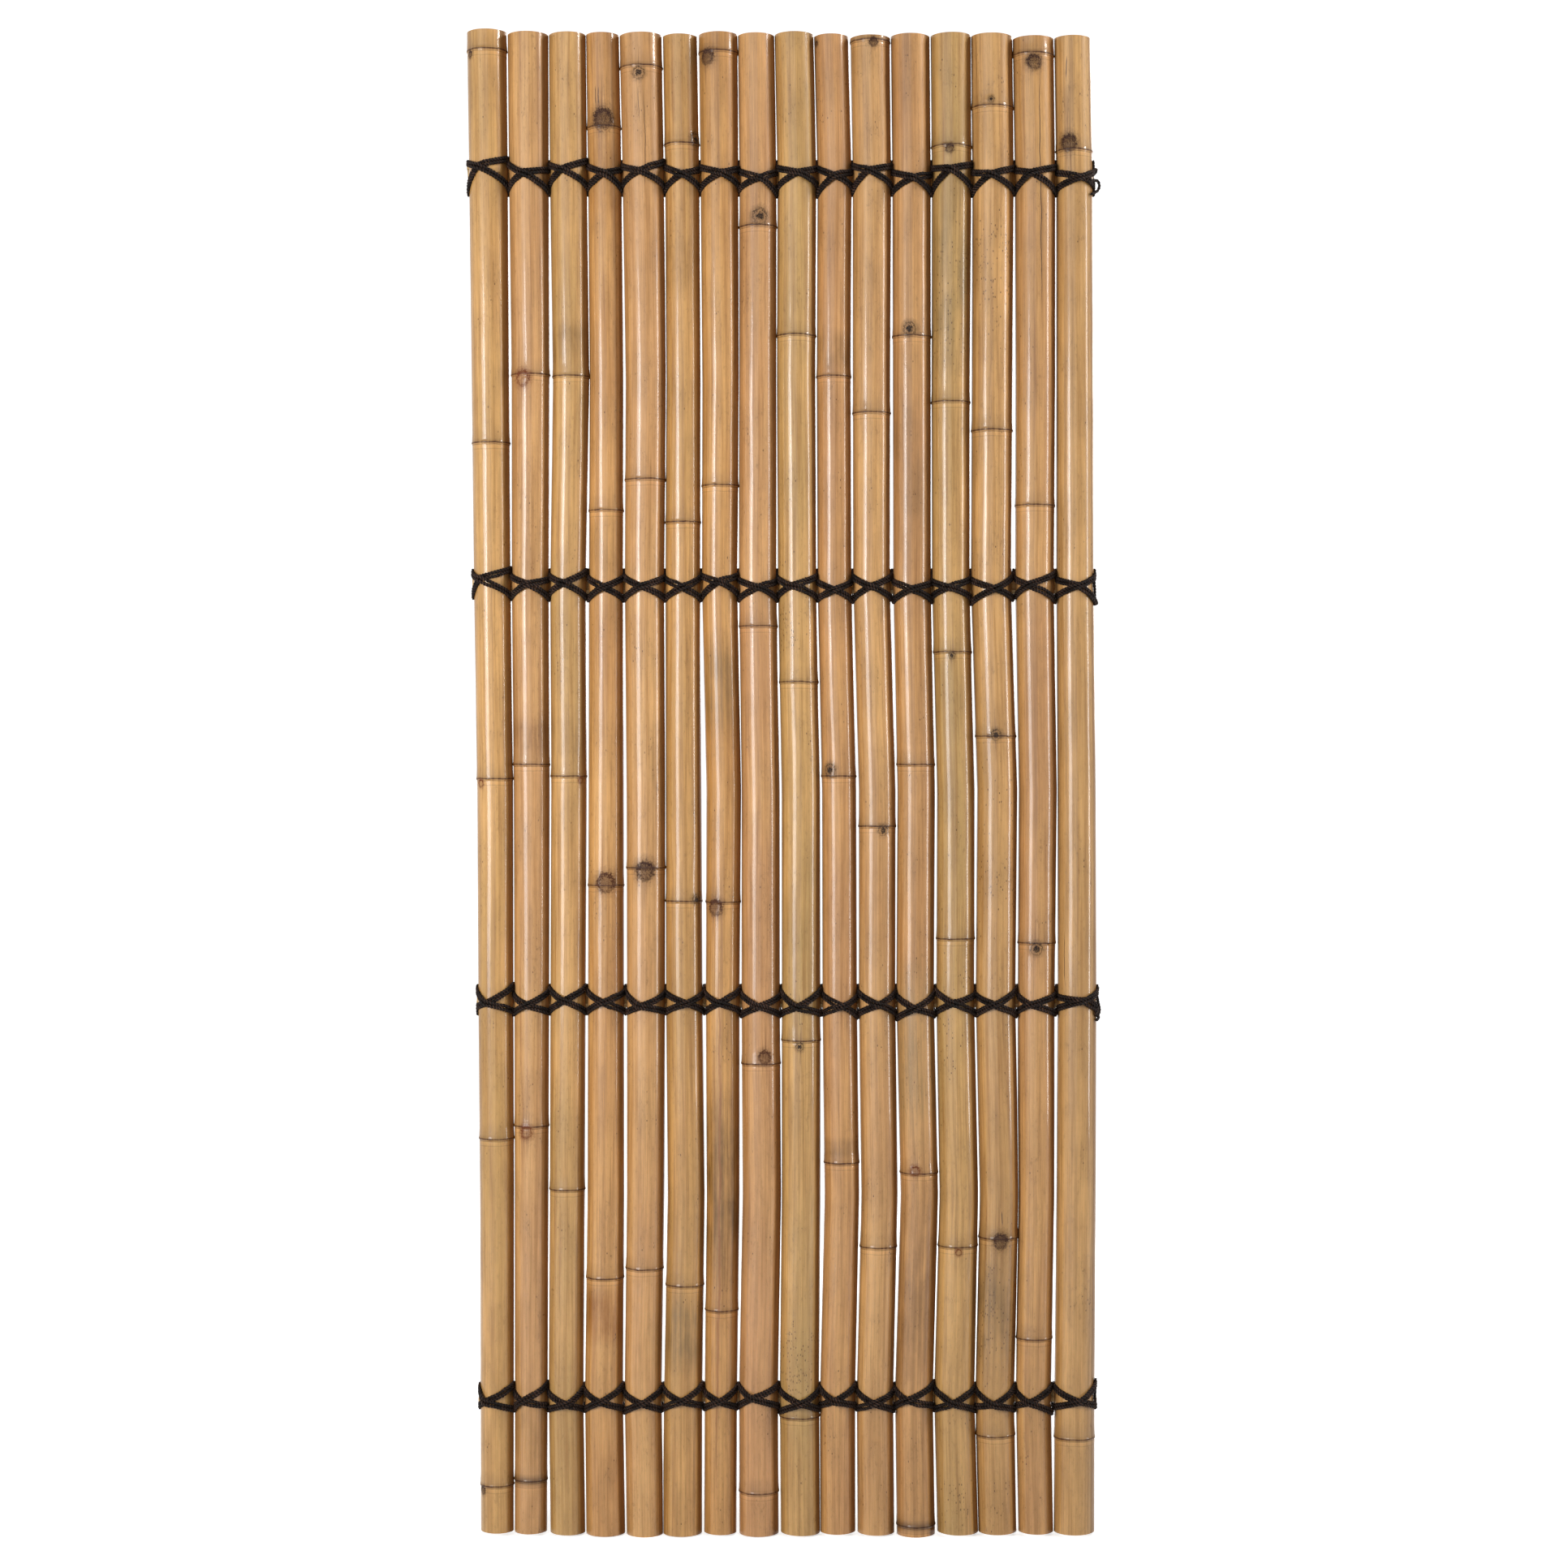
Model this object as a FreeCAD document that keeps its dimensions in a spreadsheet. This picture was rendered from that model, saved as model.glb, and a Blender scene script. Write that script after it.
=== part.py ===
import FreeCAD, Part
import math
import os
import Sketcher

# Bamboo fence panel: sixteen culms split lengthwise, laced to four split battens behind them.
# Millimetres, +Z up, X across the panel, round faces of the culms to the front (-Y).
# The sawn faces of the culms lie in the plane y = 0, and z = 0 is the foot of the longest culm.

document = FreeCAD.newDocument("bamboo_fence_panel")
vector = FreeCAD.Vector
x_axis = vector(1, 0, 0)
y_axis = vector(0, 1, 0)
z_axis = vector(0, 0, 1)

# Sizes that hold for the whole panel
shared_sizes = {
    "panel_height": 1805,
    "culm_wall": 5.5,
    "node_width": 7,
    "node_swell": 0.9,
    "batten_wall": 4.5,
    "batten_node_width": 6,
    "batten_node_swell": 0.7,
    "batten_overhang": 3.2,
    "twine_diameter": 2.6,
    "clearance": 0.2,
    "strand_gap": 0.1,
    "loop_radius": 3.6,
    "nail_diameter": 1.6,
    "nail_point": 2,
    "nail_bite": 2.5,
    "nail_head_diameter": 3,
    "nail_head_thickness": 1,
    "nail_recess_diameter": 4.4,
    "nail_recess_depth": 2,
    "nail_angle": 45,
}

# Lashing rows from the foot up: height of the middle, width of the batten, height of the twine's
# crossings above the middle, and the culms that the nodes of the batten lie behind
rows = {
    "row_4": (168, 19, -4.5, ("culm_06", "culm_14")),
    "row_3": (645, 24, -4.5, ("culm_03", "culm_10")),
    "row_2": (1143, 24, 0, ("culm_07", "culm_15")),
    "row_1": (1631, 30, 1.5, ("culm_04", "culm_13")),
}

# Distance from the middle of the panel to its left edge, by level
left_edges = {
    "foot": 361.3,
    "row_4": 361.7,
    "low_span": 362.5,
    "row_3": 364.4,
    "middle_span": 365.9,
    "row_2": 369.8,
    "high_span": 372.5,
    "row_1": 375.6,
    "head": 378.1,
}

# Gaps between the culms from left to right. In a lashing row the twine needs room in each gap,
# and these are what a gap has beyond that.
gaps = {
    "foot": (3.2, 6.0, 3.1, 3.6, 0.9, 4.3, 5.4, 4.3, 1.0, 4.4, 4.8, 4.6, 1.0, 4.1, 2.6),
    "row_4": (0, 0, 0.6, 0.6, 1.5, 1.5, 1.0, 0.8, 0, 0.5, 0.8, 0.3, 0.1, 0.8, 2.8),
    "low_span": (2.6, 3.5, 4.8, 4.8, 5.6, 3.9, 5.0, 2.5, 6.4, 4.2, 5.1, 3.3, 3.4, 0.8, 4.2),
    "row_3": (0, 0.3, 1.6, 2.4, 0, 2.7, 1.1, 1.1, 1.2, 1.0, 0, 1.5, 0.6, 1.5, 2.3),
    "middle_span": (2.7, 3.5, 4.0, 5.0, 2.5, 7.8, 2.5, 4.0, 4.1, 4.8, 4.0, 4.2, 4.8, 3.6, 2.7),
    "row_2": (0, 0.3, 1.8, 0.6, 0, 0.6, 0.5, 0.2, 0.2, 0.6, 2.1, 0, 0.2, 3.3, 1.5),
    "high_span": (4.2, 5.2, 2.3, 3.9, 2.1, 3.4, 1.8, 2.3, 3.3, 4.0, 4.4, 2.7, 4.0, 5.1, 3.2),
    "row_1": (0, 0, 0, 0, 0, 0, 0, 0, 0, 0, 0, 0, 0, 0, 0),
    "head": (3.0, 1.8, 0.8, 2.6, 3.1, 3.7, 1.9, 1.5, 2.2, 4.4, 3.1, 2.9, 1.3, 1.9, 2.7),
}

# Culms from the left: widths at the foot, the middle and the head, how much shorter the foot and
# the head are than the longest, heights of the nodes, and of the nodes that a lashing covers
culms = {
    "culm_01": ((38, 42, 46.5), (4, 0), (60, 476, 908, 1311, 1782), ()),
    "culm_02": ((37, 41.5, 47.5), (3, 3), (66, 491, 925, 1393), ()),
    "culm_03": ((40, 41, 43.5), (2, 3), (415, 911, 1391), ()),
    "culm_04": ((45, 40.5, 38.5), (1, 3), (309, 780, 1230, 1690), ()),
    "culm_05": ((42.5, 45, 49), (0, 4), (320, 801, 1267, 1762), ()),
    "culm_06": ((45.5, 41, 39.5), (1, 5), (300, 761, 1216, 1670), ()),
    "culm_07": ((37, 40, 45), (2, 3), (270, 760, 1260, 1780), ()),
    "culm_08": ((45.5, 44, 42.5), (1, 4), (52, 566, 1091, 1571), ()),
    "culm_09": ((46, 44.5, 45.5), (2, 3), (142, 594, 1024, 1440), ()),
    "culm_10": ((41, 39.5, 39.5), (3, 5), (447, 911, 1391), ()),
    "culm_11": ((42.5, 42.5, 45.5), (2, 7), (346, 851, 1347, 1793), ()),
    "culm_12": ((44, 43.5, 45), (0, 5), (12, 435, 925, 1439), ()),
    "culm_13": ((48, 43.5, 47), (3, 4), (347, 716, 1060, 1360, 1667), ()),
    "culm_14": ((44.5, 46.5, 48.5), (3, 5), (120, 357, 959, 1326, 1714), (651,)),
    "culm_15": ((40, 44, 47.5), (3, 8), (236, 711, 1236, 1777), ()),
    "culm_16": ((47.5, 44.5, 42), (3, 7), (117, 1662), (637, 1151)),
}

# Nails that pin a culm to the batten behind it: culm, row and height above the twine's crossing
nails = {
    "pinning_nail_1": ("culm_11", "row_1", 0),
    "pinning_nail_2": ("culm_02", "row_3", 1.5),
}

# Where the twine's route is drawn: angles round the front of a culm, how far the strands that
# cross on top stand off there, angles round the back of a batten, and the turn of the end loop
front_angles = (-67.5, -45, -22.5, 0, 22.5, 45, 67.5)
top_strand_lifts = (0, 0.5, 1, 1, 0.5, 0, 0)
crossing_angle = -11.25
back_angles = (22.5, 45, 67.5, 90, 112.5, 135, 157.5)
half_step = math.radians(11.25)
groove_depth = 3
loop_depth = 6
loop_angles = (-170, -140, -100, -60, -20, 20, 60, 100)

sheet = document.addObject("Spreadsheet::Sheet", "Sizes")


def fill_sheet():
    # Each size stands in a row of the sheet under its own name, as a plain number.
    sizes = dict(shared_sizes)
    for row, (height, width, rise, node_culms) in rows.items():
        sizes[f"{row}_height"] = height
        sizes[f"{row}_batten_width"] = width
        sizes[f"{row}_crossing_rise"] = rise
    for level, distance in left_edges.items():
        sizes[f"left_edge_{level}"] = distance
        for culm, gap in zip(culms, gaps[level]):
            sizes[f"{culm}_gap_{level}"] = gap
    for culm, (widths, trims, open_nodes, covered_nodes) in culms.items():
        for place, width in zip(("foot", "middle", "head"), widths):
            sizes[f"{culm}_{place}_width"] = width
        for place, trim in zip(("foot", "head"), trims):
            sizes[f"{culm}_{place}_trim"] = trim
        for number, height in enumerate(open_nodes + covered_nodes, 1):
            sizes[f"{culm}_node_{number}"] = height
    for nail, (culm, row, rise) in nails.items():
        sizes[f"{nail}_rise"] = rise
    for line, (alias, number) in enumerate(sizes.items(), 1):
        sheet.set(f"A{line}", alias)
        sheet.set(f"B{line}", str(number))
        sheet.setAlias(f"B{line}", alias)
    document.recompute()


def size(alias):
    return float(sheet.get(alias))


def mm(expression):
    # The sheet's numbers have no unit, while the other objects measure in millimetres.
    return f"({expression}) * 1 mm"


def level_height(level, culm):
    # Height of a level. A culm's own foot and head are trimmed.
    heights = {
        "foot": f"Sizes.{culm}_foot_trim",
        "low_span": "(Sizes.row_4_height + Sizes.row_3_height) / 2",
        "middle_span": "(Sizes.row_3_height + Sizes.row_2_height) / 2",
        "high_span": "(Sizes.row_2_height + Sizes.row_1_height) / 2",
        "head": f"Sizes.panel_height - Sizes.{culm}_head_trim",
    }
    return heights.get(level, f"Sizes.{level}_height")


def culm_radius(culm, height):
    # Radius of a culm at a height, on a smooth curve through its widths at foot, middle and head
    foot, middle, head = (f"Sizes.{culm}_{place}_width" for place in ("foot", "middle", "head"))
    share = f"(({height}) / Sizes.panel_height)"
    bow = f"(4 * {middle} - 2 * {foot} - 2 * {head}) * {share} * (1 - {share})"
    return f"({foot} + ({head} - {foot}) * {share} + {bow}) / 2"


def gap_after(culm, level):
    # Clear gap to the next culm. In a lashing row it is at least as wide as the twine needs.
    gap = f"Sizes.{culm}_gap_{level}"
    if level in rows:
        gap += " + Sizes.twine_diameter + 2 * Sizes.clearance"
    return gap


def draw_half_ring(sketch, outer, inner, start_angle):
    # Section of a split culm: two half circles about the origin, joined along the saw cut
    end_angle = start_angle + math.pi
    arcs = []
    for radius in (outer, inner):
        circle = Part.Circle(vector(0, 0, 0), z_axis, radius)
        arcs.append(sketch.addGeometry(Part.ArcOfCircle(circle, start_angle, end_angle), False))
    cuts = []
    for angle in (start_angle, end_angle):
        side = vector(math.cos(angle), math.sin(angle), 0)
        cuts.append(sketch.addGeometry(Part.LineSegment(side * outer, side * inner), False))
    outer_arc, inner_arc = arcs
    saw_axis = -1 if abs(side.x) > abs(side.y) else -2
    sketch.addConstraint(Sketcher.Constraint("Coincident", outer_arc, 3, -1, 1))
    sketch.addConstraint(Sketcher.Constraint("Coincident", inner_arc, 3, -1, 1))
    for end, cut in enumerate(cuts, 1):
        sketch.addConstraint(Sketcher.Constraint("Coincident", cut, 1, outer_arc, end))
        sketch.addConstraint(Sketcher.Constraint("Coincident", cut, 2, inner_arc, end))
        sketch.addConstraint(Sketcher.Constraint("PointOnObject", cut, 1, saw_axis))
        sketch.addConstraint(Sketcher.Constraint("PointOnObject", cut, 2, saw_axis))
    for name, arc, radius in (("outer_radius", outer_arc, outer), ("inner_radius", inner_arc, inner)):
        index = sketch.addConstraint(Sketcher.Constraint("Radius", arc, radius))
        sketch.renameConstraint(index, name)


def join(name, pieces):
    whole = document.addObject("Part::MultiFuse", name)
    whole.Shapes = pieces
    return whole


def join_and_drill(name, pieces, holes):
    # Joins the pieces and then cuts the holes. The last result carries the name.
    if not holes:
        return join(name, pieces)
    drilled = document.addObject("Part::Cut", name)
    drilled.Base = join(f"{name}_blank", pieces)
    drilled.Tool = join(f"{name}_holes", holes) if len(holes) > 1 else holes[0]
    return drilled


def add_rib(culm, level, culm_on_left):
    # Section of a culm at one level, beside the section of the culm on its left
    height = level_height(level, culm)
    radius = culm_radius(culm, height)
    rib = document.addObject("Sketcher::SketchObject", f"{culm}_rib_{level}")
    draw_half_ring(rib, outer=22, inner=16, start_angle=math.pi)
    rib.setExpression("Constraints.outer_radius", mm(radius))
    rib.setExpression("Constraints.inner_radius", mm(f"{radius} - Sizes.culm_wall"))
    if culm_on_left is None:
        across = mm(f"{radius} - Sizes.left_edge_{level}")
    else:
        neighbour = f"{culm_on_left}_rib_{level}"
        beside = mm(f"{gap_after(culm_on_left, level)} + {radius}")
        across = f"{neighbour}.Placement.Base.x + {neighbour}.Constraints.outer_radius + {beside}"
    rib.setExpression("Placement.Base.x", across)
    rib.setExpression("Placement.Base.z", mm(height))
    return rib


def ribs_beside(ribs, height):
    # The ribs just below and just above a height
    below = [rib for rib in ribs[:-1] if rib.Placement.Base.z <= height]
    place = max(len(below) - 1, 0)
    return ribs[place], ribs[place + 1]


def centre_expression(ribs, alias):
    # Where the middle of a culm is at a height of the sheet: on the line between two ribs
    lower, upper = ribs_beside(ribs, size(alias))
    rise = f"(Sizes.{alias} * 1 mm - {lower.Name}.Placement.Base.z)"
    whole_rise = f"({upper.Name}.Placement.Base.z - {lower.Name}.Placement.Base.z)"
    lean = f"({upper.Name}.Placement.Base.x - {lower.Name}.Placement.Base.x)"
    return f"{lower.Name}.Placement.Base.x + {lean} * {rise} / {whole_rise}"


def add_half_cones(name, root, crest, width, rotation):
    # A node: a half disc across the hollow, whose rim rises to a low crest at mid width
    cones = []
    for part, radii in (("first", (root, crest)), ("second", (crest, root))):
        cone = document.addObject("Part::Cone", f"{name}_{part}")
        cone.setExpression("Radius1", mm(radii[0]))
        cone.setExpression("Radius2", mm(radii[1]))
        cone.setExpression("Height", mm(f"{width} / 2"))
        cone.Angle = 180
        cone.Placement.Rotation = rotation
        cones.append(cone)
    return cones


def add_culm_node(culm, number, is_open):
    alias = f"{culm}_node_{number}"
    radius = culm_radius(culm, f"Sizes.{alias}")
    root = f"{radius} - Sizes.node_swell"
    crest = f"{radius} + Sizes.node_swell" if is_open else root
    facing_front = FreeCAD.Rotation(z_axis, 180)
    cones = add_half_cones(alias, root, crest, "Sizes.node_width", facing_front)
    for cone in cones:
        cone.setExpression("Placement.Base.x", centre_expression(ribs_of[culm], alias))
    cones[0].setExpression("Placement.Base.z", mm(f"Sizes.{alias} - Sizes.node_width / 2"))
    cones[1].setExpression("Placement.Base.z", mm(f"Sizes.{alias}"))
    return cones


def add_culm(culm, holes):
    # A split culm: its wall is lofted through nine ribs and joined with its nodes.
    open_nodes, covered_nodes = culms[culm][2:4]
    wall = document.addObject("Part::Loft", f"{culm}_wall")
    wall.Sections = ribs_of[culm]
    wall.Solid = True
    wall.Ruled = True
    pieces = [wall]
    for number in range(1, len(open_nodes + covered_nodes) + 1):
        pieces.extend(add_culm_node(culm, number, number <= len(open_nodes)))
    return join_and_drill(culm, pieces, holes)


def add_batten(batten, row, holes):
    # A thinner split culm that lies across the backs of the culms, cut face to cut face
    width = f"Sizes.{row}_batten_width"
    first, last = (ribs[levels.index(row)].Name for ribs in (ribs_of[order[0]], ribs_of[order[-1]]))
    left_end = f"{first}.Placement.Base.x - {first}.Constraints.outer_radius"
    right_end = f"{last}.Placement.Base.x + {last}.Constraints.outer_radius"
    overhang = mm("Sizes.batten_overhang")
    section = document.addObject("Sketcher::SketchObject", f"{batten}_section")
    draw_half_ring(section, outer=12, inner=8, start_angle=-math.pi / 2)
    section.setExpression("Constraints.outer_radius", mm(f"{width} / 2"))
    section.setExpression("Constraints.inner_radius", mm(f"{width} / 2 - Sizes.batten_wall"))
    section.Placement.Rotation = FreeCAD.Rotation(y_axis, z_axis, x_axis, "XYZ")
    section.setExpression("Placement.Base.x", f"{left_end} - {overhang}")
    section.setExpression("Placement.Base.z", mm(f"Sizes.{row}_height"))
    wall = document.addObject("Part::Extrusion", f"{batten}_wall")
    wall.Base = section
    wall.DirMode = "Normal"
    wall.Solid = True
    wall.setExpression("LengthFwd", f"{right_end} - ({left_end}) + 2 * {overhang}")
    pieces = [wall]
    facing_back = FreeCAD.Rotation(y_axis, 90)
    root = f"{width} / 2 - Sizes.batten_node_swell"
    crest = f"{width} / 2 + Sizes.batten_node_swell"
    half_node = mm("Sizes.batten_node_width / 2")
    for culm in rows[row][3]:
        middle = f"{culm}_rib_{row}.Placement.Base.x"
        name = f"{batten}_behind_{culm}"
        cones = add_half_cones(name, root, crest, "Sizes.batten_node_width", facing_back)
        cones[0].setExpression("Placement.Base.x", f"{middle} - {half_node}")
        cones[1].setExpression("Placement.Base.x", middle)
        for cone in cones:
            cone.setExpression("Placement.Base.z", mm(f"Sizes.{row}_height"))
        pieces.extend(cones)
    return join_and_drill(batten, pieces, holes)


def place_on_nail(bar, nail, depth):
    # Turns a bar to point at the back and sets it on the nail's axis at a depth.
    culm, row, rise = nails[nail]
    rib = f"{culm}_rib_{row}"
    across = f"{rib}.Constraints.outer_radius * sin(Sizes.nail_angle * 1 deg)"
    height = f"Sizes.{row}_height + Sizes.{row}_crossing_rise + Sizes.{nail}_rise"
    bar.Placement.Rotation = FreeCAD.Rotation(x_axis, -90)
    bar.setExpression("Placement.Base.x", f"{rib}.Placement.Base.x - {across}")
    bar.setExpression("Placement.Base.y", depth)
    bar.setExpression("Placement.Base.z", mm(height))
    return bar


def add_rod(name, nail, diameter, start, end):
    rod = document.addObject("Part::Cylinder", name)
    rod.setExpression("Radius", mm(f"({diameter}) / 2"))
    rod.setExpression("Height", f"{end} - ({start})")
    return place_on_nail(rod, nail, start)


def add_nail(nail):
    # A nail sunk in the face of a culm: returns the nail, and its holes by the piece they are in.
    culm, row, rise = nails[nail]
    radius = f"{culm}_rib_{row}.Constraints.outer_radius"
    surface = f"-{radius} * cos(Sizes.nail_angle * 1 deg)"
    seat = f"{surface} + " + mm("Sizes.nail_recess_depth")
    head_top = f"{seat} - " + mm("Sizes.nail_head_thickness")
    tip = mm(f"Sizes.{row}_batten_width / 2 - Sizes.batten_wall + Sizes.nail_bite")
    shoulder = f"{tip} - " + mm("Sizes.nail_point")
    head = add_rod(f"{nail}_head", nail, "Sizes.nail_head_diameter", head_top, seat)
    shank = add_rod(f"{nail}_shank", nail, "Sizes.nail_diameter", seat, shoulder)
    point = document.addObject("Part::Cone", f"{nail}_point")
    point.setExpression("Radius1", mm("Sizes.nail_diameter / 2"))
    point.Radius2 = 0
    point.setExpression("Height", mm("Sizes.nail_point"))
    place_on_nail(point, nail, shoulder)
    bore = "Sizes.nail_diameter + 2 * Sizes.clearance"
    bore_end = f"{tip} + " + mm("Sizes.clearance")
    holes = {
        culm: [
            add_rod(f"{nail}_bore", nail, bore, f"-{radius}", "0 mm"),
            add_rod(f"{nail}_recess", nail, "Sizes.nail_recess_diameter", f"-{radius}", seat),
        ],
        row: [add_rod(f"{nail}_batten_bore", nail, bore, "0 mm", bore_end)],
    }
    return join(nail, [head, shank, point]), holes


def culm_at(number, height):
    # Middle and radius of a culm at a height, where the culms count from 1
    lower, upper = ribs_beside(ribs_of[order[number - 1]], height)
    share = (height - lower.Placement.Base.z) / (upper.Placement.Base.z - lower.Placement.Base.z)
    low_radius, high_radius = (float(rib.getDatum("outer_radius")) for rib in (lower, upper))
    middle = lower.Placement.Base.x + (upper.Placement.Base.x - lower.Placement.Base.x) * share
    return middle, low_radius + (high_radius - low_radius) * share


def gap_middle(number, height):
    # Middle of the gap on the right of a culm, and beside the panel the line of the end strands
    reach = size("twine_diameter") / 2 + size("clearance")
    if number == 0:
        middle, radius = culm_at(1, height)
        return middle - radius - reach
    middle, radius = culm_at(number, height)
    if number == len(order):
        return middle + radius + reach
    next_middle, next_radius = culm_at(number + 1, height)
    return (middle + radius + next_middle - next_radius) / 2


class Lacing:
    # The route of one row's twine. Four strands share each gap, stacked up the groove. Two rise
    # from left to right over every culm, and the two outside them fall and cross on top of them.

    def __init__(self, row):
        self.middle = size(f"{row}_height")
        self.crossing = self.middle + size(f"{row}_crossing_rise")
        self.reach = size("twine_diameter") / 2 + size("clearance")
        self.pitch = size("twine_diameter") + size("strand_gap")
        self.inner = (size(f"{row}_batten_width") / 2 + self.reach) / math.cos(half_step)

    def stack(self, place):
        # Height above the middle of the batten of a place in the stack, counted outwards from 0
        return self.inner + place * self.pitch

    def groove(self, gap, height):
        # Into the groove beside a culm, down to the plane of the saw cuts
        across = gap_middle(gap, self.middle + height)
        return [vector(across, -depth, self.middle + height) for depth in (groove_depth, 0)]

    def over_culm(self, number, left, right, side, lift):
        # Over the front of a culm from the gap on its left to the gap on its right. The strand
        # keeps half a pitch to its side of the pair's middle line.
        pair_left = self.middle + left - side * self.pitch / 2
        pair_right = self.middle + right - side * self.pitch / 2
        points = self.groove(number - 1, left)[::-1]
        for angle, standoff in zip(front_angles, top_strand_lifts):
            if angle < crossing_angle:
                start, rise = pair_left, self.crossing - pair_left
                turned, span = angle - front_angles[0], crossing_angle - front_angles[0]
            else:
                start, rise = self.crossing, pair_right - self.crossing
                turned, span = angle - crossing_angle, front_angles[-1] - crossing_angle
            height = start + rise * turned / span
            middle, radius = culm_at(number, height)
            radius = (radius + self.reach + lift * standoff * self.pitch) / math.cos(half_step)
            slope = math.atan2(rise, radius * math.radians(span))
            height += side * self.pitch / 2 / math.cos(slope)
            turn = math.radians(angle)
            points.append(vector(middle + radius * math.sin(turn), -radius * math.cos(turn), height))
        return points + self.groove(number, right)

    def round_batten(self, gap, top, bottom, spread):
        # Down the back of the batten, from a place in the upper stack to one in the lower stack.
        # At the back the strands lie side by side, spread pitches from the middle of the gap.
        points = []
        for angle in back_angles:
            turn = math.radians(angle)
            place = top if angle < 90 else bottom
            radius = self.inner + place * self.pitch * abs(math.cos(turn))
            height = self.middle + radius * math.cos(turn)
            across = gap_middle(gap, height) + spread * self.pitch * math.sin(turn)
            points.append(vector(across, radius * math.sin(turn), height))
        return points

    def run(self, rises, side):
        # One strand from the left end to the right. It changes its side of the pair at each gap.
        points = []
        inner_place = 0 if rises else 2
        for number in range(1, len(order) + 1):
            upper = inner_place + (1 if side > 0 else 0)
            lower = inner_place + (0 if side > 0 else 1)
            if rises:
                points += self.over_culm(number, -self.stack(lower), self.stack(upper), side, 0)
                wrap = self.round_batten(number, upper, upper, upper - 1.5)
            else:
                points += self.over_culm(number, self.stack(upper), -self.stack(lower), side, 1)
                wrap = self.round_batten(number, lower, lower, lower - 1.5)[::-1]
            if number < len(order):
                points += wrap
            side = -side
        return points

    def end_loop(self):
        # The first end of the twine stands out beside the last culm as a small loop.
        radius = size("loop_radius")
        height = self.middle - self.stack(3)
        across = gap_middle(len(order), height) + radius
        points = []
        for angle in reversed(loop_angles):
            turn = math.radians(angle)
            point = vector(across + radius * math.cos(turn), -loop_depth, height + radius * math.sin(turn))
            points.append(point + vector(0, 0, radius))
        return points

    def route(self):
        # The whole twine. It is laced to the left end and back again, twice, and its last end is
        # tucked in behind the batten.
        points = self.end_loop()
        points += self.run(False, 1)[:-2][::-1]
        points += self.round_batten(0, 3, 1, 1)
        points += self.run(True, -1)
        points += self.round_batten(len(order), 1, 2, -1)
        points += self.run(False, -1)[::-1]
        points += self.round_batten(0, 2, 0, 0)
        points += self.run(True, 1)
        points += self.round_batten(len(order), 0, 0, 0)[:3]
        return points


def twine_tube(points, diameter):
    # A round strand through the points: rims joined by ruled faces, and a flat end on the first
    # and the last. Each rim starts at a side carried on from the one before.
    rims = []
    side = z_axis
    for number, point in enumerate(points):
        before = points[max(number - 1, 0)]
        after = points[min(number + 1, len(points) - 1)]
        along = (after - before).normalize()
        side = (side - along * side.dot(along)).normalize()
        rim = Part.Circle(point, along, diameter / 2)
        rim.XAxis = side
        rims.append(rim.toShape())
    faces = [Part.makeRuledSurface(start, end) for start, end in zip(rims, rims[1:])]
    faces += [Part.Face(Part.Wire([rim])) for rim in (rims[0], rims[-1])]
    return Part.Solid(Part.Shell(faces))


def add_lashing(lashing, row):
    points = Lacing(row).route()
    length = sum(start.distanceToPoint(end) for start, end in zip(points, points[1:]))
    twine = document.addObject("Part::Feature", lashing)
    twine.Shape = twine_tube(points, size("twine_diameter"))
    twine.Placement = FreeCAD.Placement()
    section = math.pi * size("twine_diameter") ** 2 / 4
    print(f"{lashing}: {length:.0f} mm of twine, {twine.Shape.Volume / section / length:.3f} of its volume")
    return twine


def write_step_files(pieces):
    for piece in document.Objects:
        if "Invalid" in piece.State or "Error" in piece.State:
            raise ValueError(f"{piece.Name} could not be worked out: {piece.State}")
    os.makedirs("parts", exist_ok=True)
    for piece in pieces:
        if piece.Shape.isNull() or not piece.Shape.isValid():
            raise ValueError(f"{piece.Name} has no valid shape")
        piece.Label = piece.Name
        piece.Shape.exportStep(f"parts/{piece.Label}.step")


fill_sheet()
levels = list(left_edges)
order = list(culms)
ribs_of = {}
for culm_on_left, culm in zip([None] + order, order):
    ribs_of[culm] = [add_rib(culm, level, culm_on_left) for level in levels]
document.recompute()

pieces = []
holes_in = {}
for nail in nails:
    piece, holes = add_nail(nail)
    pieces.append(piece)
    for carrier, carrier_holes in holes.items():
        holes_in.setdefault(carrier, []).extend(carrier_holes)
for culm in culms:
    pieces.append(add_culm(culm, holes_in.get(culm)))
for row in rows:
    pieces.append(add_batten(row.replace("row", "rear_batten"), row, holes_in.get(row)))
for row in rows:
    pieces.append(add_lashing(row.replace("row", "lashing"), row))
document.recompute()
write_step_files(pieces)
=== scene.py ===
import math
import random
from functools import partial

import bmesh
import bpy
import numpy as np
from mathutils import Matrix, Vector, noise


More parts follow.
